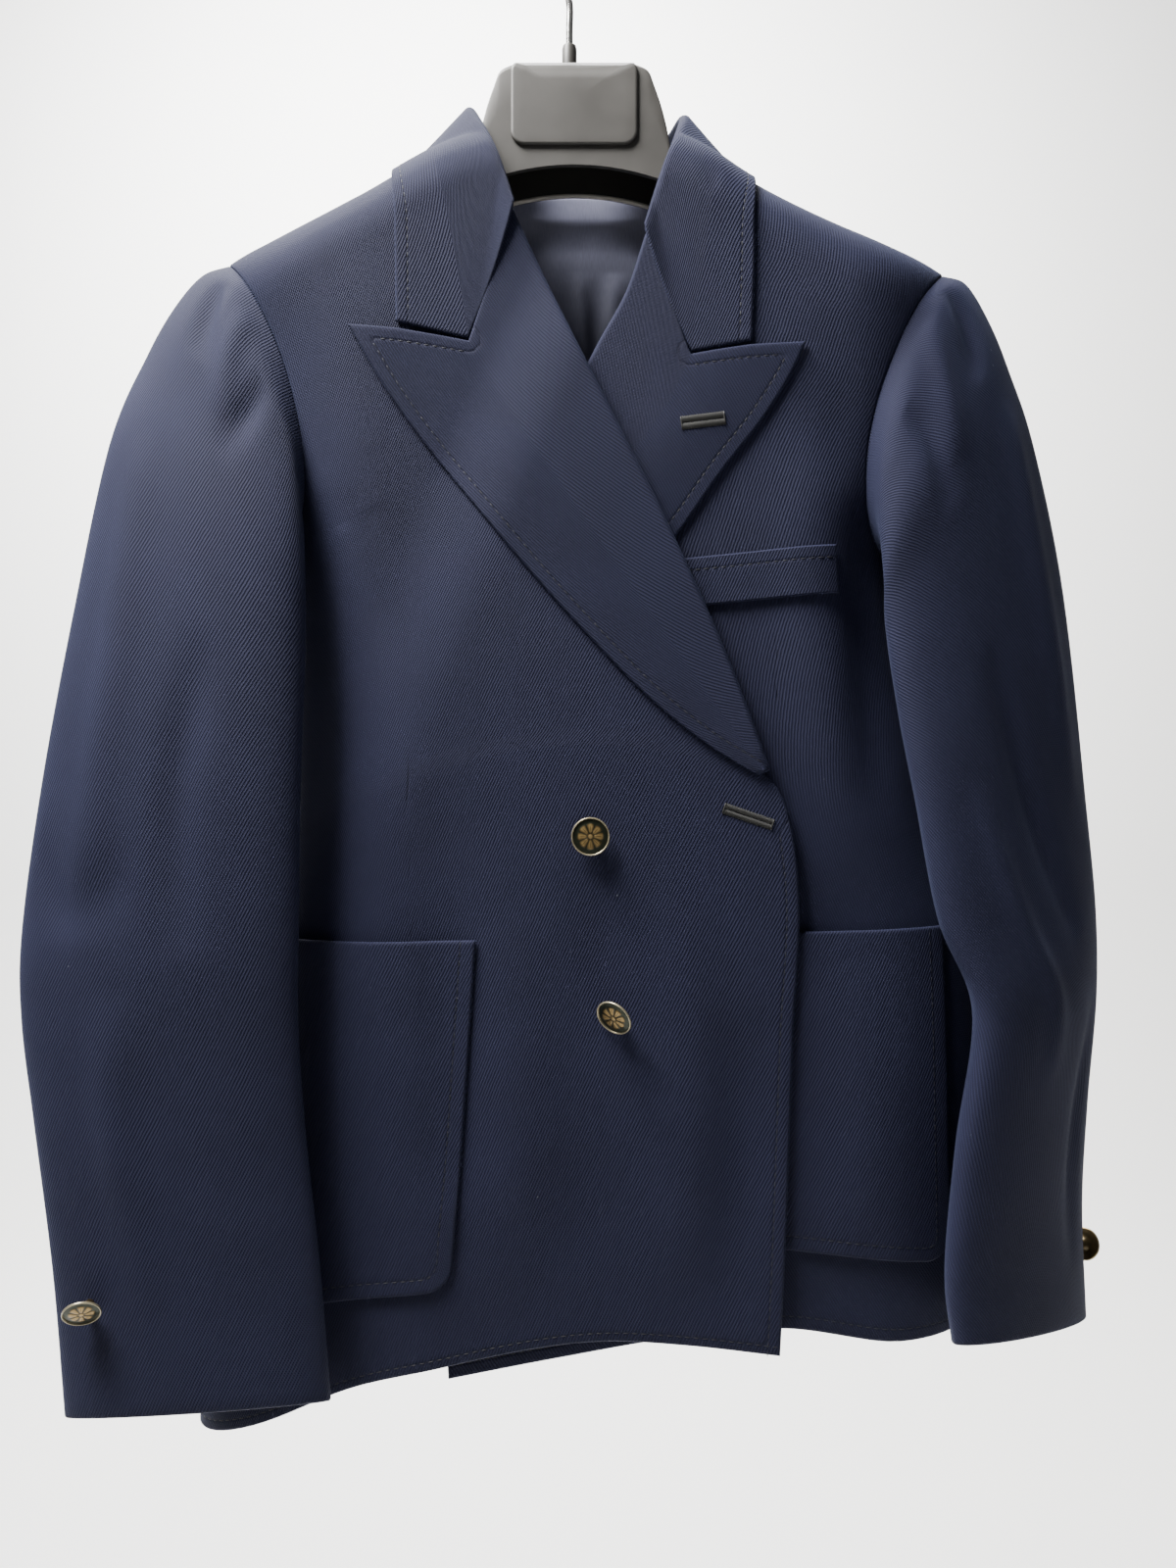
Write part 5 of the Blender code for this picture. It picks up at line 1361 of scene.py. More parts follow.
def make_hanger_body(plastic, painted_highlight):
    """The moulding: sections of an upside-down U, hollow and open below, along both arms."""
    close = HANGER_CENTRE_X + np.linspace(-HEAD_REACH, HEAD_REACH, 120)
    places = np.unique(np.concatenate([np.linspace(HANGER_RIGHT_END, HANGER_LEFT_END, 90), close]))
    angles = np.radians(np.linspace(-90, 90, 31))
    grids = []
    for shrink in (0.0, PLASTIC):
        rows = []
        for x in places:
            section = [section_place(float(x), float(angle), shrink) for angle in angles]
            arm_share = section[0][1]
            from_centre = abs(x - HANGER_CENTRE_X)
            arch = ARCH_Z - ARCH_FALL * (from_centre / ARM_START) ** 2
            arm_bottom = float(shoulder_z(np.array([x]))[0]) - HANGER_ARM_DROP - HANGER_LIP
            bottom = (1 - arm_share) * arch + arm_share * arm_bottom
            points = [point for point, _ in section]
            walls = []
            for end in (points[0], points[-1]):
                drop = np.array((0.0, 0.0, bottom - end[2]))
                walls.append([end + share * drop for share in (0.35, 0.7, 1.0)])
            rows.append([*walls[0][::-1], *points, *walls[1]])
        grids.append(np.array(rows))
    outer, inner = grids
    index, squares = grid_faces(*outer.shape[:2])
    rim = rim_of(index)
    after = np.roll(rim, -1)
    bridge = np.stack([after, rim, rim + index.size, after + index.size], axis=-1)
    faces = np.concatenate([squares, squares[:, ::-1] + index.size, bridge])
    points = np.concatenate([outer.reshape(-1, 3), inner.reshape(-1, 3)])
    made = mesh_object("hanger_moulding", points, faces, plastic)
    made.data.set_sharp_from_angle(angle=math.radians(45))
    belongs(made, "hanger_body")
    # A bead along the back wall's lower edge in much brightened plastic: a painted highlight along the arch
    across = np.linspace(-ARM_START, ARM_START, 61)
    bead_z = ARCH_Z - ARCH_FALL * (across / ARM_START) ** 2
    bead = np.stack([HANGER_CENTRE_X + across, 0 * across + HEAD_HALF_DEPTH - PLASTIC, bead_z], -1)
    beads = [closed_tube(bead, BEAD_RADIUS, 12)]
    joined("hanger_arch_highlight_bead", beads, painted_highlight, "hanger_body")


def rounded_plate(half_width, height, corner, count=96):
    """Outline of a rectangle with round corners about its middle, width and height."""
    turn = np.linspace(0, 2 * math.pi, count, endpoint=False) + math.pi / count
    x = np.sign(np.cos(turn)) * (half_width - corner) + corner * np.cos(turn)
    z = np.sign(np.sin(turn)) * (height / 2 - corner) + corner * np.sin(turn)
    return x, z


def make_hanger_panel(plastic):
    """The raised panel on the hanger's head: rings of a rounded rectangle, its edge rounded."""
    height = PANEL_TOP_Z - PLATE_TOP_Z + PLATE_HEIGHT
    x, z = rounded_plate(PLATE_HALF_WIDTH, height, PLATE_CORNER)
    x = np.where(z > 0, np.sign(x) * np.maximum(np.abs(x), PLATE_HALF_WIDTH - PANEL_TOP_ROUND), x)
    rings = [(1.0, 0.0)]
    for angle in np.radians(np.linspace(0, 90, 8)):
        rise = PLATE_THICKNESS * (0.35 + 0.65 * math.sin(angle))
        rings.append((1.0 - 0.05 * (1 - math.cos(angle)), rise))
    rings += [(keep, PLATE_THICKNESS * (1 + 0.10 * (1 - keep))) for keep in (0.8, 0.5, 0.2)]
    middle_z = PANEL_TOP_Z - height / 2
    points = []
    for keep, rise in rings:
        level = middle_z + keep * z
        below = np.clip((HEAD_TOP_Z - level) / HEAD_ROUND, 0, 1)
        front = -(HEAD_HALF_DEPTH * np.sqrt(1 - (1 - below) ** 2) + GAP)
        points.append(np.stack([HANGER_CENTRE_X + keep * x, front - rise, level], axis=-1))
    made = surface_with_poles("hanger_panel", np.array(points), plastic)
    made.data.set_sharp_from_angle(angle=math.radians(50))
    belongs(made, "hanger_plate")


def make_hook_wire(plastic, steel):
    """The hook: a round wire along a stem, an easy bend and a near-full turn, its tip rounded."""
    turn = np.radians(np.linspace(HOOK_TURN_START, HOOK_TURN_END, HOOK_TURN_POINTS))
    centre_z = -(HOOK_BEND_RADIUS - WIRE_RADIUS)
    bend = np.stack([np.cos(turn), 0 * turn, np.sin(turn)], axis=-1)
    arc = HOOK_BEND_RADIUS * bend + (0.0, 0.0, centre_z)
    foot = HEAD_TOP_Z + 2 * GAP + FERRULE_HEIGHT
    start = [(HOOK_STEM_X, 0.0, foot), (HOOK_STEM_X, 0.0, 0.5 * (foot + HOOK_STEM_TOP_Z))]
    start += [(HOOK_STEM_X, 0.0, HOOK_STEM_TOP_Z)]
    start += [(HOOK_STEM_X + HOOK_BEND_OFFSET, 0.0, HOOK_STEM_TOP_Z + HOOK_BEND_RISE)]
    path = smooth_rows([*start, *arc], 0.001)
    radius = np.full(len(path), WIRE_RADIUS)
    end = np.linspace(0, 1, 5)
    radius[-5:] = WIRE_RADIUS * np.sqrt(np.clip(1 - (0.95 * end) ** 4, 0.05, 1))
    joined("hook_wire", [closed_tube(path, radius, 18)], steel, "hanger_hook")
    profile = [(0.0, 0.0), (FERRULE_RADIUS * 0.95, 0.0), (FERRULE_RADIUS, 0.0006)]
    top = FERRULE_HEIGHT + FERRULE_EXTRA
    profile += [(FERRULE_RADIUS, 0.85 * top), (0.9 * FERRULE_RADIUS, 0.95 * top)]
    profile += [(WIRE_RADIUS, top), (0.0, top)]
    turns = np.linspace(0, 2 * math.pi, 32, endpoint=False)
    rows = np.array(profile)
    x = HOOK_STEM_X + rows[:, :1] * np.cos(turns)
    y = rows[:, :1] * np.sin(turns)
    z = HEAD_TOP_Z + GAP + rows[:, 1:] + 0 * turns
    made = surface_with_poles("hook_ferrule_turned", np.stack([x, y, z], -1), plastic)
    made.data.set_sharp_from_angle(angle=math.radians(40))
    belongs(made, "hook_ferrule")


def new_material(name, roughness, metallic=0.0):
    """A material with its Principled shader, its nodes and its links."""
    made = bpy.data.materials.new(name)
    made.use_nodes = True
    nodes, links = made.node_tree.nodes, made.node_tree.links
    shader = nodes["Principled BSDF"]
    shader.inputs["Roughness"].default_value = roughness
    shader.inputs["Metallic"].default_value = metallic
    return made, nodes, links, shader


def sums(nodes, links, operation, *inputs):
    """A Math node whose inputs are numbers or other nodes' sockets."""
    node = nodes.new("ShaderNodeMath")
    node.operation = operation
    for place, value in enumerate(inputs):
        if isinstance(value, (int, float)):
            node.inputs[place].default_value = value
        else:
            links.new(value, node.inputs[place])
    return node.outputs[0]


def object_places(nodes):
    """Places on an object, in metres."""
    return nodes.new("ShaderNodeTexCoord").outputs["Object"]


def cloth_places(nodes):
    """The cloth's own flat coordinates, in metres."""
    node = nodes.new("ShaderNodeUVMap")
    node.uv_map = "flat"
    return node.outputs[0]


def kept_value(nodes, key):
    """A value that the mesh keeps at its points."""
    node = nodes.new("ShaderNodeAttribute")
    node.attribute_name = key
    return node.outputs["Fac"]


def raise_relief(nodes, links, shader, height, strength, distance):
    """Gives a shader the relief of a height."""
    node = nodes.new("ShaderNodeBump")
    node.inputs["Strength"].default_value = strength
    node.inputs["Distance"].default_value = distance
    links.new(height, node.inputs["Height"])
    links.new(node.outputs[0], shader.inputs["Normal"])


def toward_colour(nodes, links, share, value, colour, blend="MIX"):
    """A colour taken by a share towards a plain one."""
    node = nodes.new("ShaderNodeMix")
    node.data_type = "RGBA"
    node.blend_type = blend
    links.new(share, node.inputs[0])
    links.new(value, node.inputs[6])
    node.inputs[7].default_value = (*colour, 1.0)
    return node.outputs[2]


def noise(nodes, links, places, scale, detail=3.0, rough=0.55):
    """A soft random pattern, about 0 to 1."""
    node = nodes.new("ShaderNodeTexNoise")
    node.inputs["Scale"].default_value = scale
    node.inputs["Detail"].default_value = detail
    node.inputs["Roughness"].default_value = rough
    links.new(places, node.inputs["Vector"])
    return node.outputs["Fac"]


def ramp(nodes, links, value, stops):
    """A colour ramp with the given places and colours."""
    node = nodes.new("ShaderNodeValToRGB")
    marks = node.color_ramp.elements
    for mark, (place, colour) in zip(marks, stops[:2]):
        mark.position = place
        mark.color = (*colour, 1.0)
    for place, colour in stops[2:]:
        mark = marks.new(place)
        mark.color = (*colour, 1.0)
    links.new(value, node.inputs[0])
    return node.outputs[0]


def twill_material(name="navy_twill_cloth", lean=1.0):
    """Navy twill: diagonal ribs in the cloth's flat coordinates, with yarns, fuzz and lint.

    Rib height is a sine across the diagonal, broken along it by the yarns' own shorter sine. The
    rows of stitches and the darts are grooves, bells of the distance kept on the mesh.
    """
    made, nodes, links, shader = new_material(name, 0.78)
    flat = cloth_places(nodes)
    split = nodes.new("ShaderNodeSeparateXYZ")
    links.new(flat, split.inputs[0])
    u, v = split.outputs[0], split.outputs[1]
    wander = noise(nodes, links, flat, 160.0, 2.0)
    slope = math.radians(TWILL_ANGLE)
    across = sums(nodes, links, "MULTIPLY", u, math.sin(slope) * lean)
    across = sums(nodes, links, "MULTIPLY_ADD", v, -math.cos(slope), across)
    along = sums(nodes, links, "MULTIPLY", u, math.cos(slope) * lean)
    along = sums(nodes, links, "MULTIPLY_ADD", v, math.sin(slope), along)
    drift = sums(nodes, links, "MULTIPLY", wander, 2.6)
    turn = sums(nodes, links, "MULTIPLY_ADD", across, 2 * math.pi / TWILL_PERIOD, drift)
    rib = sums(nodes, links, "SINE", turn)
    half_turn = sums(nodes, links, "MULTIPLY", turn, 0.5)
    yarn_turn = sums(nodes, links, "MULTIPLY_ADD", along, 2 * math.pi / YARN_PERIOD, half_turn)
    yarn = sums(nodes, links, "SINE", yarn_turn)
    fuzz = noise(nodes, links, flat, 2400.0, 2.0)
    cloud = noise(nodes, links, flat, 22.0, 4.0)
    relief = sums(nodes, links, "MULTIPLY_ADD", rib, 0.5, sums(nodes, links, "MULTIPLY", yarn, 0.16))
    relief = sums(nodes, links, "MULTIPLY_ADD", fuzz, 0.75, relief)
    # Colour lighter where the relief is high and darker where it is low: painted highlight on the rib tops
    # and painted shade in the hollows, with a random cloud of tone added
    shade = sums(nodes, links, "MULTIPLY_ADD", relief, 0.24, 0.36)
    shade = sums(nodes, links, "MULTIPLY_ADD", cloud, 0.18, shade)
    colour = ramp(nodes, links, shade, [(0.15, CLOTH_DARK), (0.85, CLOTH_LIGHT), (0.5, CLOTH_MIDDLE)])
    grooves = 0.0
    for key, width, share in (("stitch", STITCH_GROOVE, 0.8), ("seam", SEAM_GROOVE, 1.6)):
        near = sums(nodes, links, "DIVIDE", kept_value(nodes, key), width)
        near = sums(nodes, links, "MULTIPLY", near, near)
        near = sums(nodes, links, "POWER", 2.718, sums(nodes, links, "MULTIPLY", near, -1.0))
        near = sums(nodes, links, "MULTIPLY", near, share)
        grooves = sums(nodes, links, "ADD", grooves, near)
    shadow = sums(nodes, links, "MULTIPLY", grooves, 0.35)
    colour = toward_colour(nodes, links, shadow, colour, GROOVE_COLOUR, "MULTIPLY")
    specks = nodes.new("ShaderNodeTexVoronoi")
    specks.inputs["Scale"].default_value = 95.0
    links.new(flat, specks.inputs["Vector"])
    chosen = sums(nodes, links, "GREATER_THAN", noise(nodes, links, flat, 37.0, 1.0), 0.66)
    lint = sums(nodes, links, "LESS_THAN", specks.outputs["Distance"], 0.045)
    lint = sums(nodes, links, "MULTIPLY", sums(nodes, links, "MULTIPLY", lint, chosen), 0.35)
    links.new(toward_colour(nodes, links, lint, colour, LINT_COLOUR), shader.inputs["Base Color"])
    height = sums(nodes, links, "MULTIPLY_ADD", grooves, -1.8, relief)
    raise_relief(nodes, links, shader, height, 0.9, TWILL_RELIEF)
    shader.inputs["Sheen Weight"].default_value = 0.06
    shader.inputs["Sheen Roughness"].default_value = 0.4
    shader.inputs["Sheen Tint"].default_value = (0.40, 0.48, 0.85, 1.0)
    shader.inputs["Specular IOR Level"].default_value = 0.16
    return made


def thread_material(name, colour):
    """Sewing thread: fine twisted strands as noise along it."""
    made, nodes, links, shader = new_material(name, 0.6)
    strands = noise(nodes, links, object_places(nodes), 4000.0, 2.0)
    shade = [(0.3, tuple(0.6 * c for c in colour)), (0.7, tuple(1.3 * c for c in colour))]
    links.new(ramp(nodes, links, strands, shade), shader.inputs["Base Color"])
    return made


def satin_material():
    """Lining satin: fine vertical threads with a soft sheen."""
    made, nodes, links, shader = new_material("lining_satin_cloth", 0.42)
    flat = cloth_places(nodes)
    stretch = nodes.new("ShaderNodeMapping")
    stretch.inputs["Scale"].default_value = (1.0, 0.12, 1.0)
    links.new(flat, stretch.inputs["Vector"])
    threads = noise(nodes, links, stretch.outputs[0], 1800.0, 3.0)
    cloud = noise(nodes, links, flat, 40.0, 3.0)
    shade = sums(nodes, links, "MULTIPLY_ADD", threads, 0.4, sums(nodes, links, "MULTIPLY", cloud, 0.6))
    tones = [(0.25, (0.105, 0.108, 0.165)), (0.75, (0.225, 0.232, 0.335))]
    links.new(ramp(nodes, links, shade, tones), shader.inputs["Base Color"])
    raise_relief(nodes, links, shader, threads, 0.25, 0.00008)
    shader.inputs["Sheen Weight"].default_value = 0.2
    shader.inputs["Specular IOR Level"].default_value = 0.5
    return made


def plastic_material(name="grey_moulded_plastic", tone=1.0):
    """Warm dark grey moulded plastic: a fine spark-eroded grain and faint rubbing marks."""
    made, nodes, links, shader = new_material(name, 0.46)
    places = object_places(nodes)
    grain = noise(nodes, links, places, 2600.0, 3.0)
    cloud = noise(nodes, links, places, 30.0, 4.0)
    shade = [(0.3, (0.042, 0.0395, 0.036)), (0.7, (0.057, 0.0535, 0.049))]
    # The tone scales the colour; the copy for the arch's bead is brightened as a painted highlight
    shade = [(place, tuple(tone * c for c in colour)) for place, colour in shade]
    links.new(ramp(nodes, links, cloud, shade), shader.inputs["Base Color"])
    links.new(sums(nodes, links, "MULTIPLY_ADD", cloud, 0.16, 0.38), shader.inputs["Roughness"])
    raise_relief(nodes, links, shader, grain, 0.3, 0.00006)
    return made


def brass_material():
    """Antique brass under clear enamel: a pale worn rim, a gold-beige motif, dark olive field."""
    made, nodes, links, shader = new_material("antique_brass_metal", 0.3, 0.75)
    stain = noise(nodes, links, object_places(nodes), 700.0, 4.0)
    lowered = sums(nodes, links, "ADD", kept_value(nodes, "worn"), -0.15)
    shade = sums(nodes, links, "MULTIPLY_ADD", stain, 0.30, lowered)
    stops = [(0.12, (0.020, 0.024, 0.014)), (1.0, (0.34, 0.30, 0.20))]
    stops += [(0.40, (0.10, 0.065, 0.024)), (0.70, (0.32, 0.22, 0.085))]
    links.new(ramp(nodes, links, shade, stops), shader.inputs["Base Color"])
    links.new(sums(nodes, links, "MULTIPLY_ADD", stain, 0.30, 0.20), shader.inputs["Roughness"])
    shader.inputs["Coat Weight"].default_value = 0.12
    return made


def steel_material():
    """Bright plated wire with fine drawing marks."""
    made, nodes, links, shader = new_material("bright_plated_wire", 0.3, 0.75)
    marks = noise(nodes, links, object_places(nodes), 700.0, 3.0)
    tones = [(0.3, (0.20, 0.198, 0.195)), (0.7, (0.30, 0.297, 0.29))]
    links.new(ramp(nodes, links, marks, tones), shader.inputs["Base Color"])
    links.new(sums(nodes, links, "MULTIPLY_ADD", marks, 0.16, 0.10), shader.inputs["Roughness"])
    return made


def inset_line(line, inset):
    """A line of points moved sideways by an inset, to its left as it runs, seen from the front."""
    line = smooth_rows(line, 0.002)
    ahead = unit(np.gradient(line, axis=0))
    return line + inset * np.stack([-ahead[:, 1], ahead[:, 0]], axis=-1)


def grid_line(grid, from_edge, rows):
    """A line on a grid that keeps a distance from its last column, over a range of its rows."""
    behind = from_last_column(grid)
    points = []
    for row in rows:
        at = np.interp(-from_edge, -behind[row], np.arange(grid.shape[1]))
        points.append([np.interp(at, np.arange(grid.shape[1]), grid[row, :, k]) for k in range(3)])
    return np.array(points)


def spindles(total, points_of):
    """Short threads along a length of seam, each a small spindle sunk at both its ends."""
    share = np.linspace(0, 1, 5)
    swell = np.sin(np.pi * share)
    parts = []
    for start in np.arange(0.001, total - STITCH_LENGTH, STITCH_LENGTH + STITCH_SPACE):
        path = points_of(start + STITCH_LENGTH * share, STITCH_SINK * (swell - 1))
        parts.append(closed_tube(path, STITCH_RADIUS * (0.45 + 0.55 * swell), 6))
    return parts


def stitch_parts(path, raised):
    """Stitches along a line seen from the front, laid on a surface."""
    path = smooth_rows(path, 0.0008)
    along = lengths(path)
    return spindles(along[-1], lambda place, rise: raised(*read_off(place, along, path).T, rise))


def stitches_along(line, normals):
    """Stitches along a line in space."""
    along = lengths(line)
    return spindles(
        along[-1],
        lambda place, rise: read_off(place, along, line) + read_off(place, along, normals) * rise[:, None],
    )


def over(height_of, extra=0.0):
    """A function giving points of the front at x and z, raised by a height."""
    return lambda x, z, rise: on_body(x, z, -1, height_of(x, z) + extra + rise)[0]


def surface_over(grid, normals):
    """A function giving points of a grid at x and z, weighed from the nearest four, and raised."""
    flat, ways = grid.reshape(-1, 3), normals.reshape(-1, 3)

    def points_at(x, z, rise):
        apart = (x[:, None] - flat[:, 0]) ** 2 + (z[:, None] - flat[:, 2]) ** 2
        near = np.argpartition(apart, 4, axis=1)[:, :4]
        weight = 1 / (np.take_along_axis(apart, near, axis=1) + 1e-10)
        weight /= weight.sum(axis=1, keepdims=True)
        y = np.sum(weight * flat[near, 1], axis=1)
        return np.stack([x, y, z], axis=-1) + ways[apart.argmin(axis=1)] * rise[:, None]

    return points_at


def make_stitches(thread):
    """Every row of topstitching, as short threads that lie in their own grooves."""
    parts = stitch_parts(inset_line(free_edge(), -EDGE_INSET), over(right_height))
    parts += stitch_parts(inset_line(RIGHT_HEM_LINE, HEM_INSET), over(right_height))
    parts += stitch_parts(inset_line(LEFT_HEM_LINE, HEM_INSET), over(left_height))
    for of in SIDES.values():
        outer, normals, _, _ = pocket_patch(of)
        outline = inset_line(patch_outline(of["pocket"]), POCKET_INSET)
        parts += stitch_parts(outline, surface_over(outer, normals))
    laid = over(left_height, WALL + LAID_GAP + WELT_STITCH_RISE)
    parts += stitch_parts(inset_line(BREAST_WELT[0:2], -WELT_INSET), laid)
    joined("topstitching", parts, thread)


def make_lapel_stitches(thread):
    """The stitching round both lapels and the collar, laid on their own grids."""
    parts = []
    for of in SIDES.values():
        grid, normals = lapel_grid(of)
        _, edge, top = of["lapel"]
        inset = EDGE_INSET if of["side"] == 1 else -EDGE_INSET
        for line, other in ((edge, top[1:]), (top[1:], edge)):
            row = inset_line(line, inset)
            clear = line_distance(row[:, 0], row[:, 1], other) > EDGE_INSET
            parts += stitch_parts(row[clear], surface_over(grid, normals))
    grid, normals = collar_grid()
    line = grid_line(grid, COLLAR_INSET, range(2, len(grid) - 2))
    parts += stitches_along(line, normals[2:-2, -2])
    joined("lapel_stitching", parts, thread)


def buttonhole_parts(start, end, half_width, surface):
    """A worked buttonhole: close threads across both lips of a slit, and a bar at each end."""
    start, end = np.array(start), np.array(end)
    length = np.linalg.norm(end - start)
    way = (end - start) / length
    across = np.array((-way[1], way[0]))
    share = np.linspace(0, 1, 5)
    parts = []
    for place in np.arange(0, length, BUTTONHOLE_PITCH):
        wobble = 0.00012 * math.sin(place * 9000.0)
        for lip in (-1, 1):
            near, far = lip * 0.00018, lip * (half_width + wobble)
            line = start + way * place + across * (near + (far - near) * share[:, None])
            points = surface(line[:, 0], line[:, 1], 0.00030 * np.sin(np.pi * share) ** 0.7)
            parts.append(tube(points, 0.00023, 5))
    for place in (start, end):
        line = place + across * half_width * np.linspace(-1, 1, 5)[:, None]
        points = surface(line[:, 0], line[:, 1], np.full(5, 0.0003))
        parts.append(closed_tube(points, 0.0003, 6))
    return parts


def make_buttonholes(olive):
    """The two worked buttonholes: on the left lapel and by the right front's edge."""
    lapel = surface_over(*lapel_grid(SIDES["left"]))
    parts = buttonhole_parts(*LAPEL_BUTTONHOLE, BUTTONHOLE_HALF, lapel)
    parts += buttonhole_parts(*EDGE_BUTTONHOLE, 0.8 * BUTTONHOLE_HALF, over(right_height))
    joined("worked_buttonholes", parts, olive)


def light(name, place, target, size, power, colour):
    """A soft square light that faces a target."""
    data = bpy.data.lights.new(name, "AREA")
    data.size = size
    data.energy = power
    data.color = colour
    made = bpy.data.objects.new(name, data)
    made.location = place
    way = Vector(target) - Vector(place)
    made.rotation_mode = "QUATERNION"
    made.rotation_quaternion = way.to_track_quat("-Z", "Y")
    bpy.context.scene.collection.objects.link(made)


def make_sweep(colour):
    """The pale floor, curving up far behind the jacket into a plain backdrop."""
    made, nodes, links, shader = new_material("pale_backdrop", 0.9)
    cloud = noise(nodes, links, object_places(nodes), 1.2, 2.0)
    tones = ramp(nodes, links, cloud, [(0.0, tuple(0.97 * c for c in colour)), (1.0, colour)])
    links.new(tones, shader.inputs["Base Color"])
    bend = np.radians(np.linspace(-90, 0, 13))
    radius = 0.8
    line = [(-3.5, FLOOR_Z)]
    centre_y, centre_z = BACKDROP_Y - radius, FLOOR_Z + radius
    line += [(centre_y + radius * math.cos(t), centre_z + radius * math.sin(t)) for t in bend]
    line += [(BACKDROP_Y, FLOOR_Z + 4.0)]
    line = np.array(line)
    x = np.linspace(-4.0, 4.0, 9)
    points = np.stack([x + 0 * line[:, :1], line[:, :1] + 0 * x, line[:, 1:] + 0 * x], axis=-1)
    _, faces = grid_faces(len(line), len(x))
    sweep = mesh_object("studio_sweep", points.reshape(-1, 3), faces, made, closed=False)


class JacketSettings(bpy.types.PropertyGroup):
    """What someone may change before building the jacket."""

    sheen: bpy.props.FloatProperty(
        name="Sheen", description="Share of soft sheen on the navy cloth", default=0.06, min=0.0, max=1.0
    )
    key_power: bpy.props.FloatProperty(
        name="Key light", description="Strength of the main soft light", default=KEY_POWER, unit="POWER"
    )
    lens: bpy.props.FloatProperty(
        name="Lens",
        description="Camera lens for the long side of the frame",
        default=CAMERA_LENS,
        subtype="DISTANCE_CAMERA",
    )


def shared(name, make, *values):
    """A material made once and used by every piece that names it."""
    return bpy.data.materials.get(name) or make(*values)


def cloth_finish(name="navy_twill_cloth", lean=1.0):
    """The navy twill with the sheen that is set in the panel."""
    made = shared(name, twill_material, name, lean)
    shader = made.node_tree.nodes["Principled BSDF"]
    shader.inputs["Sheen Weight"].default_value = bpy.context.scene.jacket_settings.sheen
    return made


class JACKET_OT_fronts(bpy.types.Operator):
    """Builds both front panels of the jacket"""

    bl_idname = "jacket.fronts"
    bl_label = "Fronts"

    def execute(self, context):
        make_front_panels(cloth_finish())
        return {"FINISHED"}


class JACKET_OT_back(bpy.types.Operator):
    """Builds the back panel of the jacket"""

    bl_idname = "jacket.back"
    bl_label = "Back"

    def execute(self, context):
        make_back_panel(cloth_finish())
        return {"FINISHED"}


class JACKET_OT_lapels(bpy.types.Operator):
    """Builds both turned lapels"""

    bl_idname = "jacket.lapels"
    bl_label = "Lapels"

    def execute(self, context):
        make_lapels(cloth_finish("navy_twill_on_lapels", -1.0))
        return {"FINISHED"}


class JACKET_OT_collar(bpy.types.Operator):
    """Builds the collar round the neck"""

    bl_idname = "jacket.collar"
    bl_label = "Collar"

    def execute(self, context):
        make_collar_cloth(cloth_finish())
        return {"FINISHED"}


class JACKET_OT_sleeves(bpy.types.Operator):
    """Builds both two-piece sleeves"""

    bl_idname = "jacket.sleeves"
    bl_label = "Sleeves"

    def execute(self, context):
        make_sleeve_cloths(cloth_finish())
        return {"FINISHED"}


class JACKET_OT_pockets(bpy.types.Operator):
    """Builds the patch pockets and the breast welt"""

    bl_idname = "jacket.pockets"
    bl_label = "Pockets"

    def execute(self, context):
        make_pockets(cloth_finish())
        return {"FINISHED"}


class JACKET_OT_lining(bpy.types.Operator):
    """Builds the satin lining inside the neck"""

    bl_idname = "jacket.lining"
    bl_label = "Lining"

    def execute(self, context):
        make_lining_cloth(shared("lining_satin_cloth", satin_material))
        return {"FINISHED"}


class JACKET_OT_sewing(bpy.types.Operator):
    """Builds the topstitching and the worked buttonholes"""

    bl_idname = "jacket.sewing"
    bl_label = "Sewing"

    def execute(self, context):
        thread = shared("navy_thread", thread_material, "navy_thread", THREAD_NAVY)
        make_stitches(thread)
        make_lapel_stitches(thread)
        make_buttonholes(shared("olive_thread", thread_material, "olive_thread", THREAD_OLIVE))
        return {"FINISHED"}


class JACKET_OT_buttons(bpy.types.Operator):
    """Builds the four shank buttons with their rosettes"""

    bl_idname = "jacket.buttons"
    bl_label = "Buttons"

    def execute(self, context):
        make_button_set(shared("antique_brass_metal", brass_material))
        return {"FINISHED"}


class JACKET_OT_hanger(bpy.types.Operator):
    """Builds the moulded hanger, its raised panel and its hook"""

    bl_idname = "jacket.hanger"
    bl_label = "Hanger"

    def execute(self, context):
        plastic = shared("grey_moulded_plastic", plastic_material)
        # A brightened copy of the plastic, for the painted highlight along the arch
        painted_highlight = shared("painted_highlight_plastic_edge", plastic_material, "painted_highlight_plastic_edge", PAINTED_HIGHLIGHT_TONE)
        make_hanger_body(plastic, painted_highlight)
        make_hanger_panel(plastic)
        make_hook_wire(plastic, shared("bright_plated_wire", steel_material))
        return {"FINISHED"}


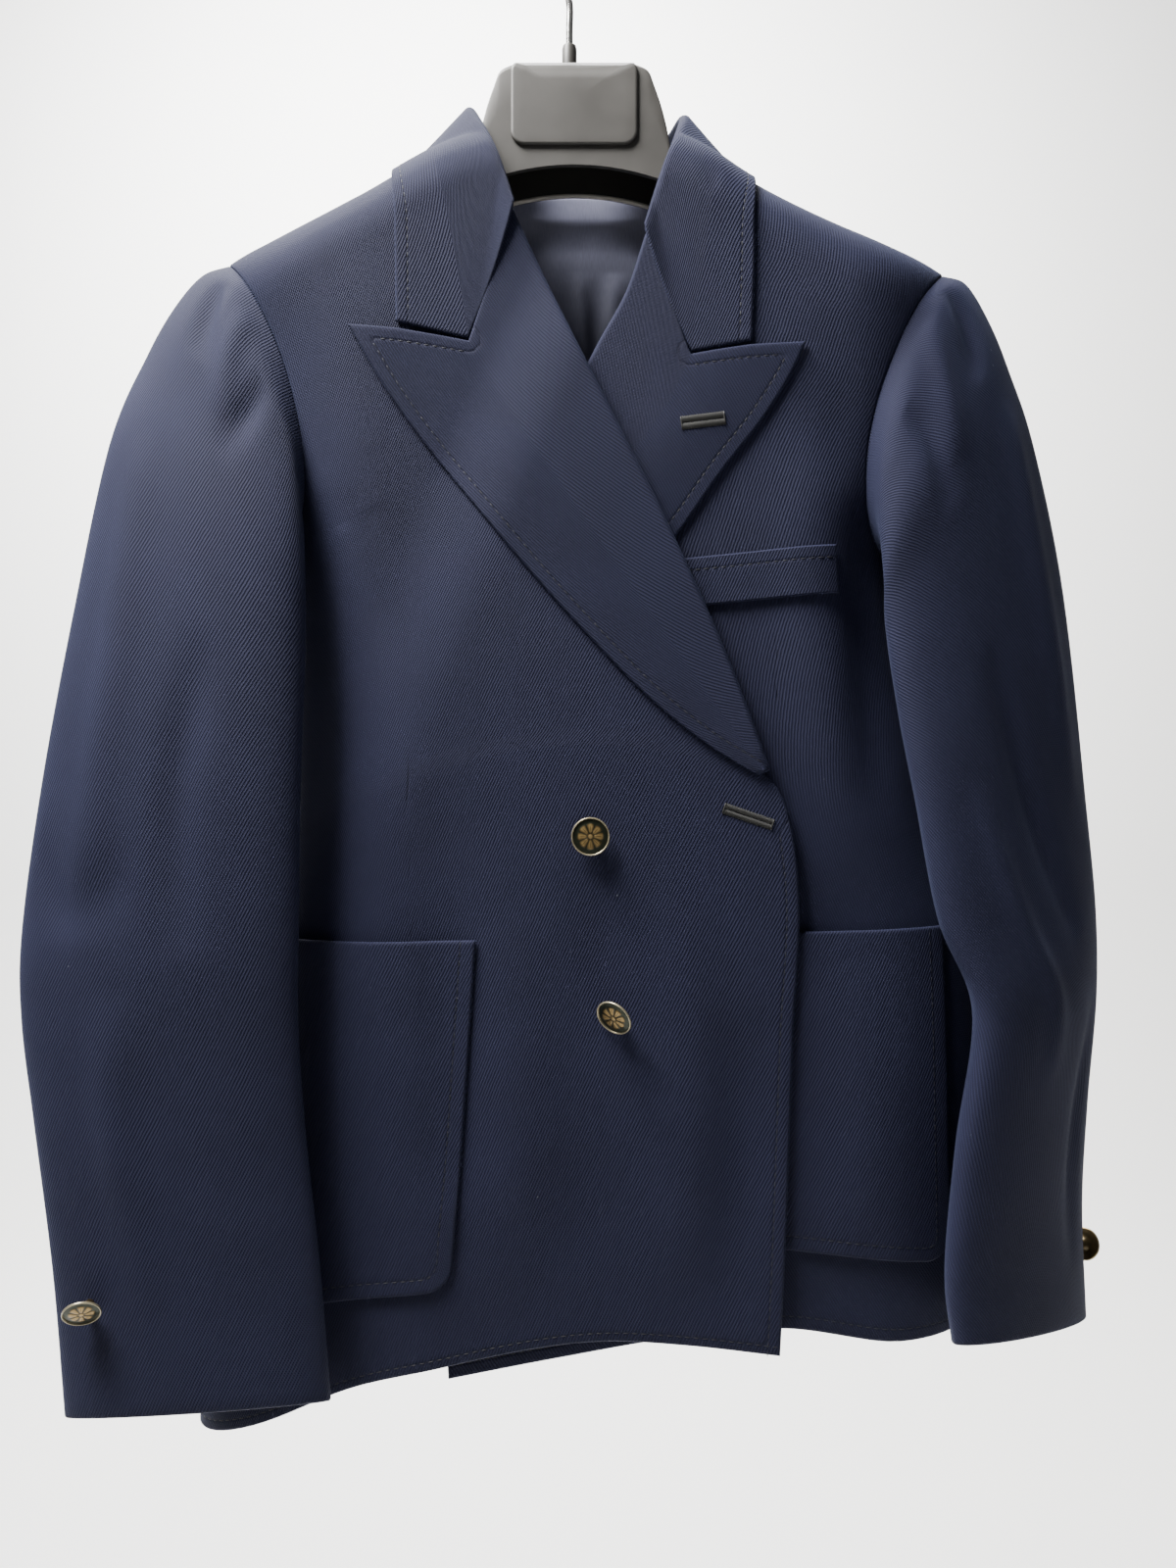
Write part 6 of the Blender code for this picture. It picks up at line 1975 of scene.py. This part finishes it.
class JACKET_OT_stage(bpy.types.Operator):
    """Sets the pale sweep, the soft lights and the camera"""

    bl_idname = "jacket.stage"
    bl_label = "Stage"

    def execute(self, context):
        settings = context.scene.jacket_settings
        make_sweep(SWEEP_COLOUR)
        world = bpy.data.worlds.new("soft_room")
        world.use_nodes = True
        world.node_tree.nodes["Background"].inputs[0].default_value = (*WORLD_COLOUR, 1.0)
        world.node_tree.nodes["Background"].inputs[1].default_value = WORLD_STRENGTH
        context.scene.world = world
        light("key_light", KEY_PLACE, (0.0, 0.0, -0.35), KEY_SIZE, settings.key_power, (1.0, 0.99, 0.97))
        light("fill_light", FILL_PLACE, (0.0, 0.0, -0.4), FILL_SIZE, FILL_POWER, (0.97, 0.98, 1.0))
        light("wall_light", WALL_PLACE, (0.0, BACKDROP_Y, 0.2), WALL_SIZE, WALL_POWER, (1.0, 1.0, 1.0))
        data = bpy.data.cameras.new("photo_camera")
        data.sensor_width = 36.0
        data.lens = settings.lens
        data.clip_start, data.clip_end = 0.01, 20.0
        camera = bpy.data.objects.new("photo_camera", data)
        camera.location = CAMERA_PLACE
        camera.rotation_euler = (math.radians(90), 0.0, 0.0)
        context.scene.collection.objects.link(camera)
        context.scene.camera = camera
        return {"FINISHED"}


class JACKET_PT_panel(bpy.types.Panel):
    """The jacket's own panel in the sidebar"""

    bl_idname = "JACKET_PT_panel"
    bl_label = "Jacket"
    bl_space_type = "VIEW_3D"
    bl_region_type = "UI"
    bl_category = "Jacket"

    def draw(self, context):
        settings = context.scene.jacket_settings
        column = self.layout.column()
        for key in ("sheen", "key_power", "lens"):
            column.prop(settings, key)
        for operator in OPERATORS:
            column.operator(operator.bl_idname)


OPERATORS = (
    JACKET_OT_fronts,
    JACKET_OT_back,
    JACKET_OT_lapels,
    JACKET_OT_collar,
    JACKET_OT_sleeves,
    JACKET_OT_pockets,
    JACKET_OT_lining,
    JACKET_OT_sewing,
    JACKET_OT_buttons,
    JACKET_OT_hanger,
    JACKET_OT_stage,
)


def register():
    """Makes the settings, the operators and the panel known to Blender."""
    for made in (JacketSettings, *OPERATORS, JACKET_PT_panel):
        bpy.utils.register_class(made)
    bpy.types.Scene.jacket_settings = bpy.props.PointerProperty(type=JacketSettings)


def unregister():
    """Takes the settings, the operators and the panel away again."""
    del bpy.types.Scene.jacket_settings
    for made in (JACKET_PT_panel, *OPERATORS[::-1], JacketSettings):
        bpy.utils.unregister_class(made)


def main():
    """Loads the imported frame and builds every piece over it."""
    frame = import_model()
    register()
    for operator in OPERATORS:
        group, name = operator.bl_idname.split(".")
        getattr(getattr(bpy.ops, group), name)()
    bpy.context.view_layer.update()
    return frame


if __name__ == "__main__":
    main()
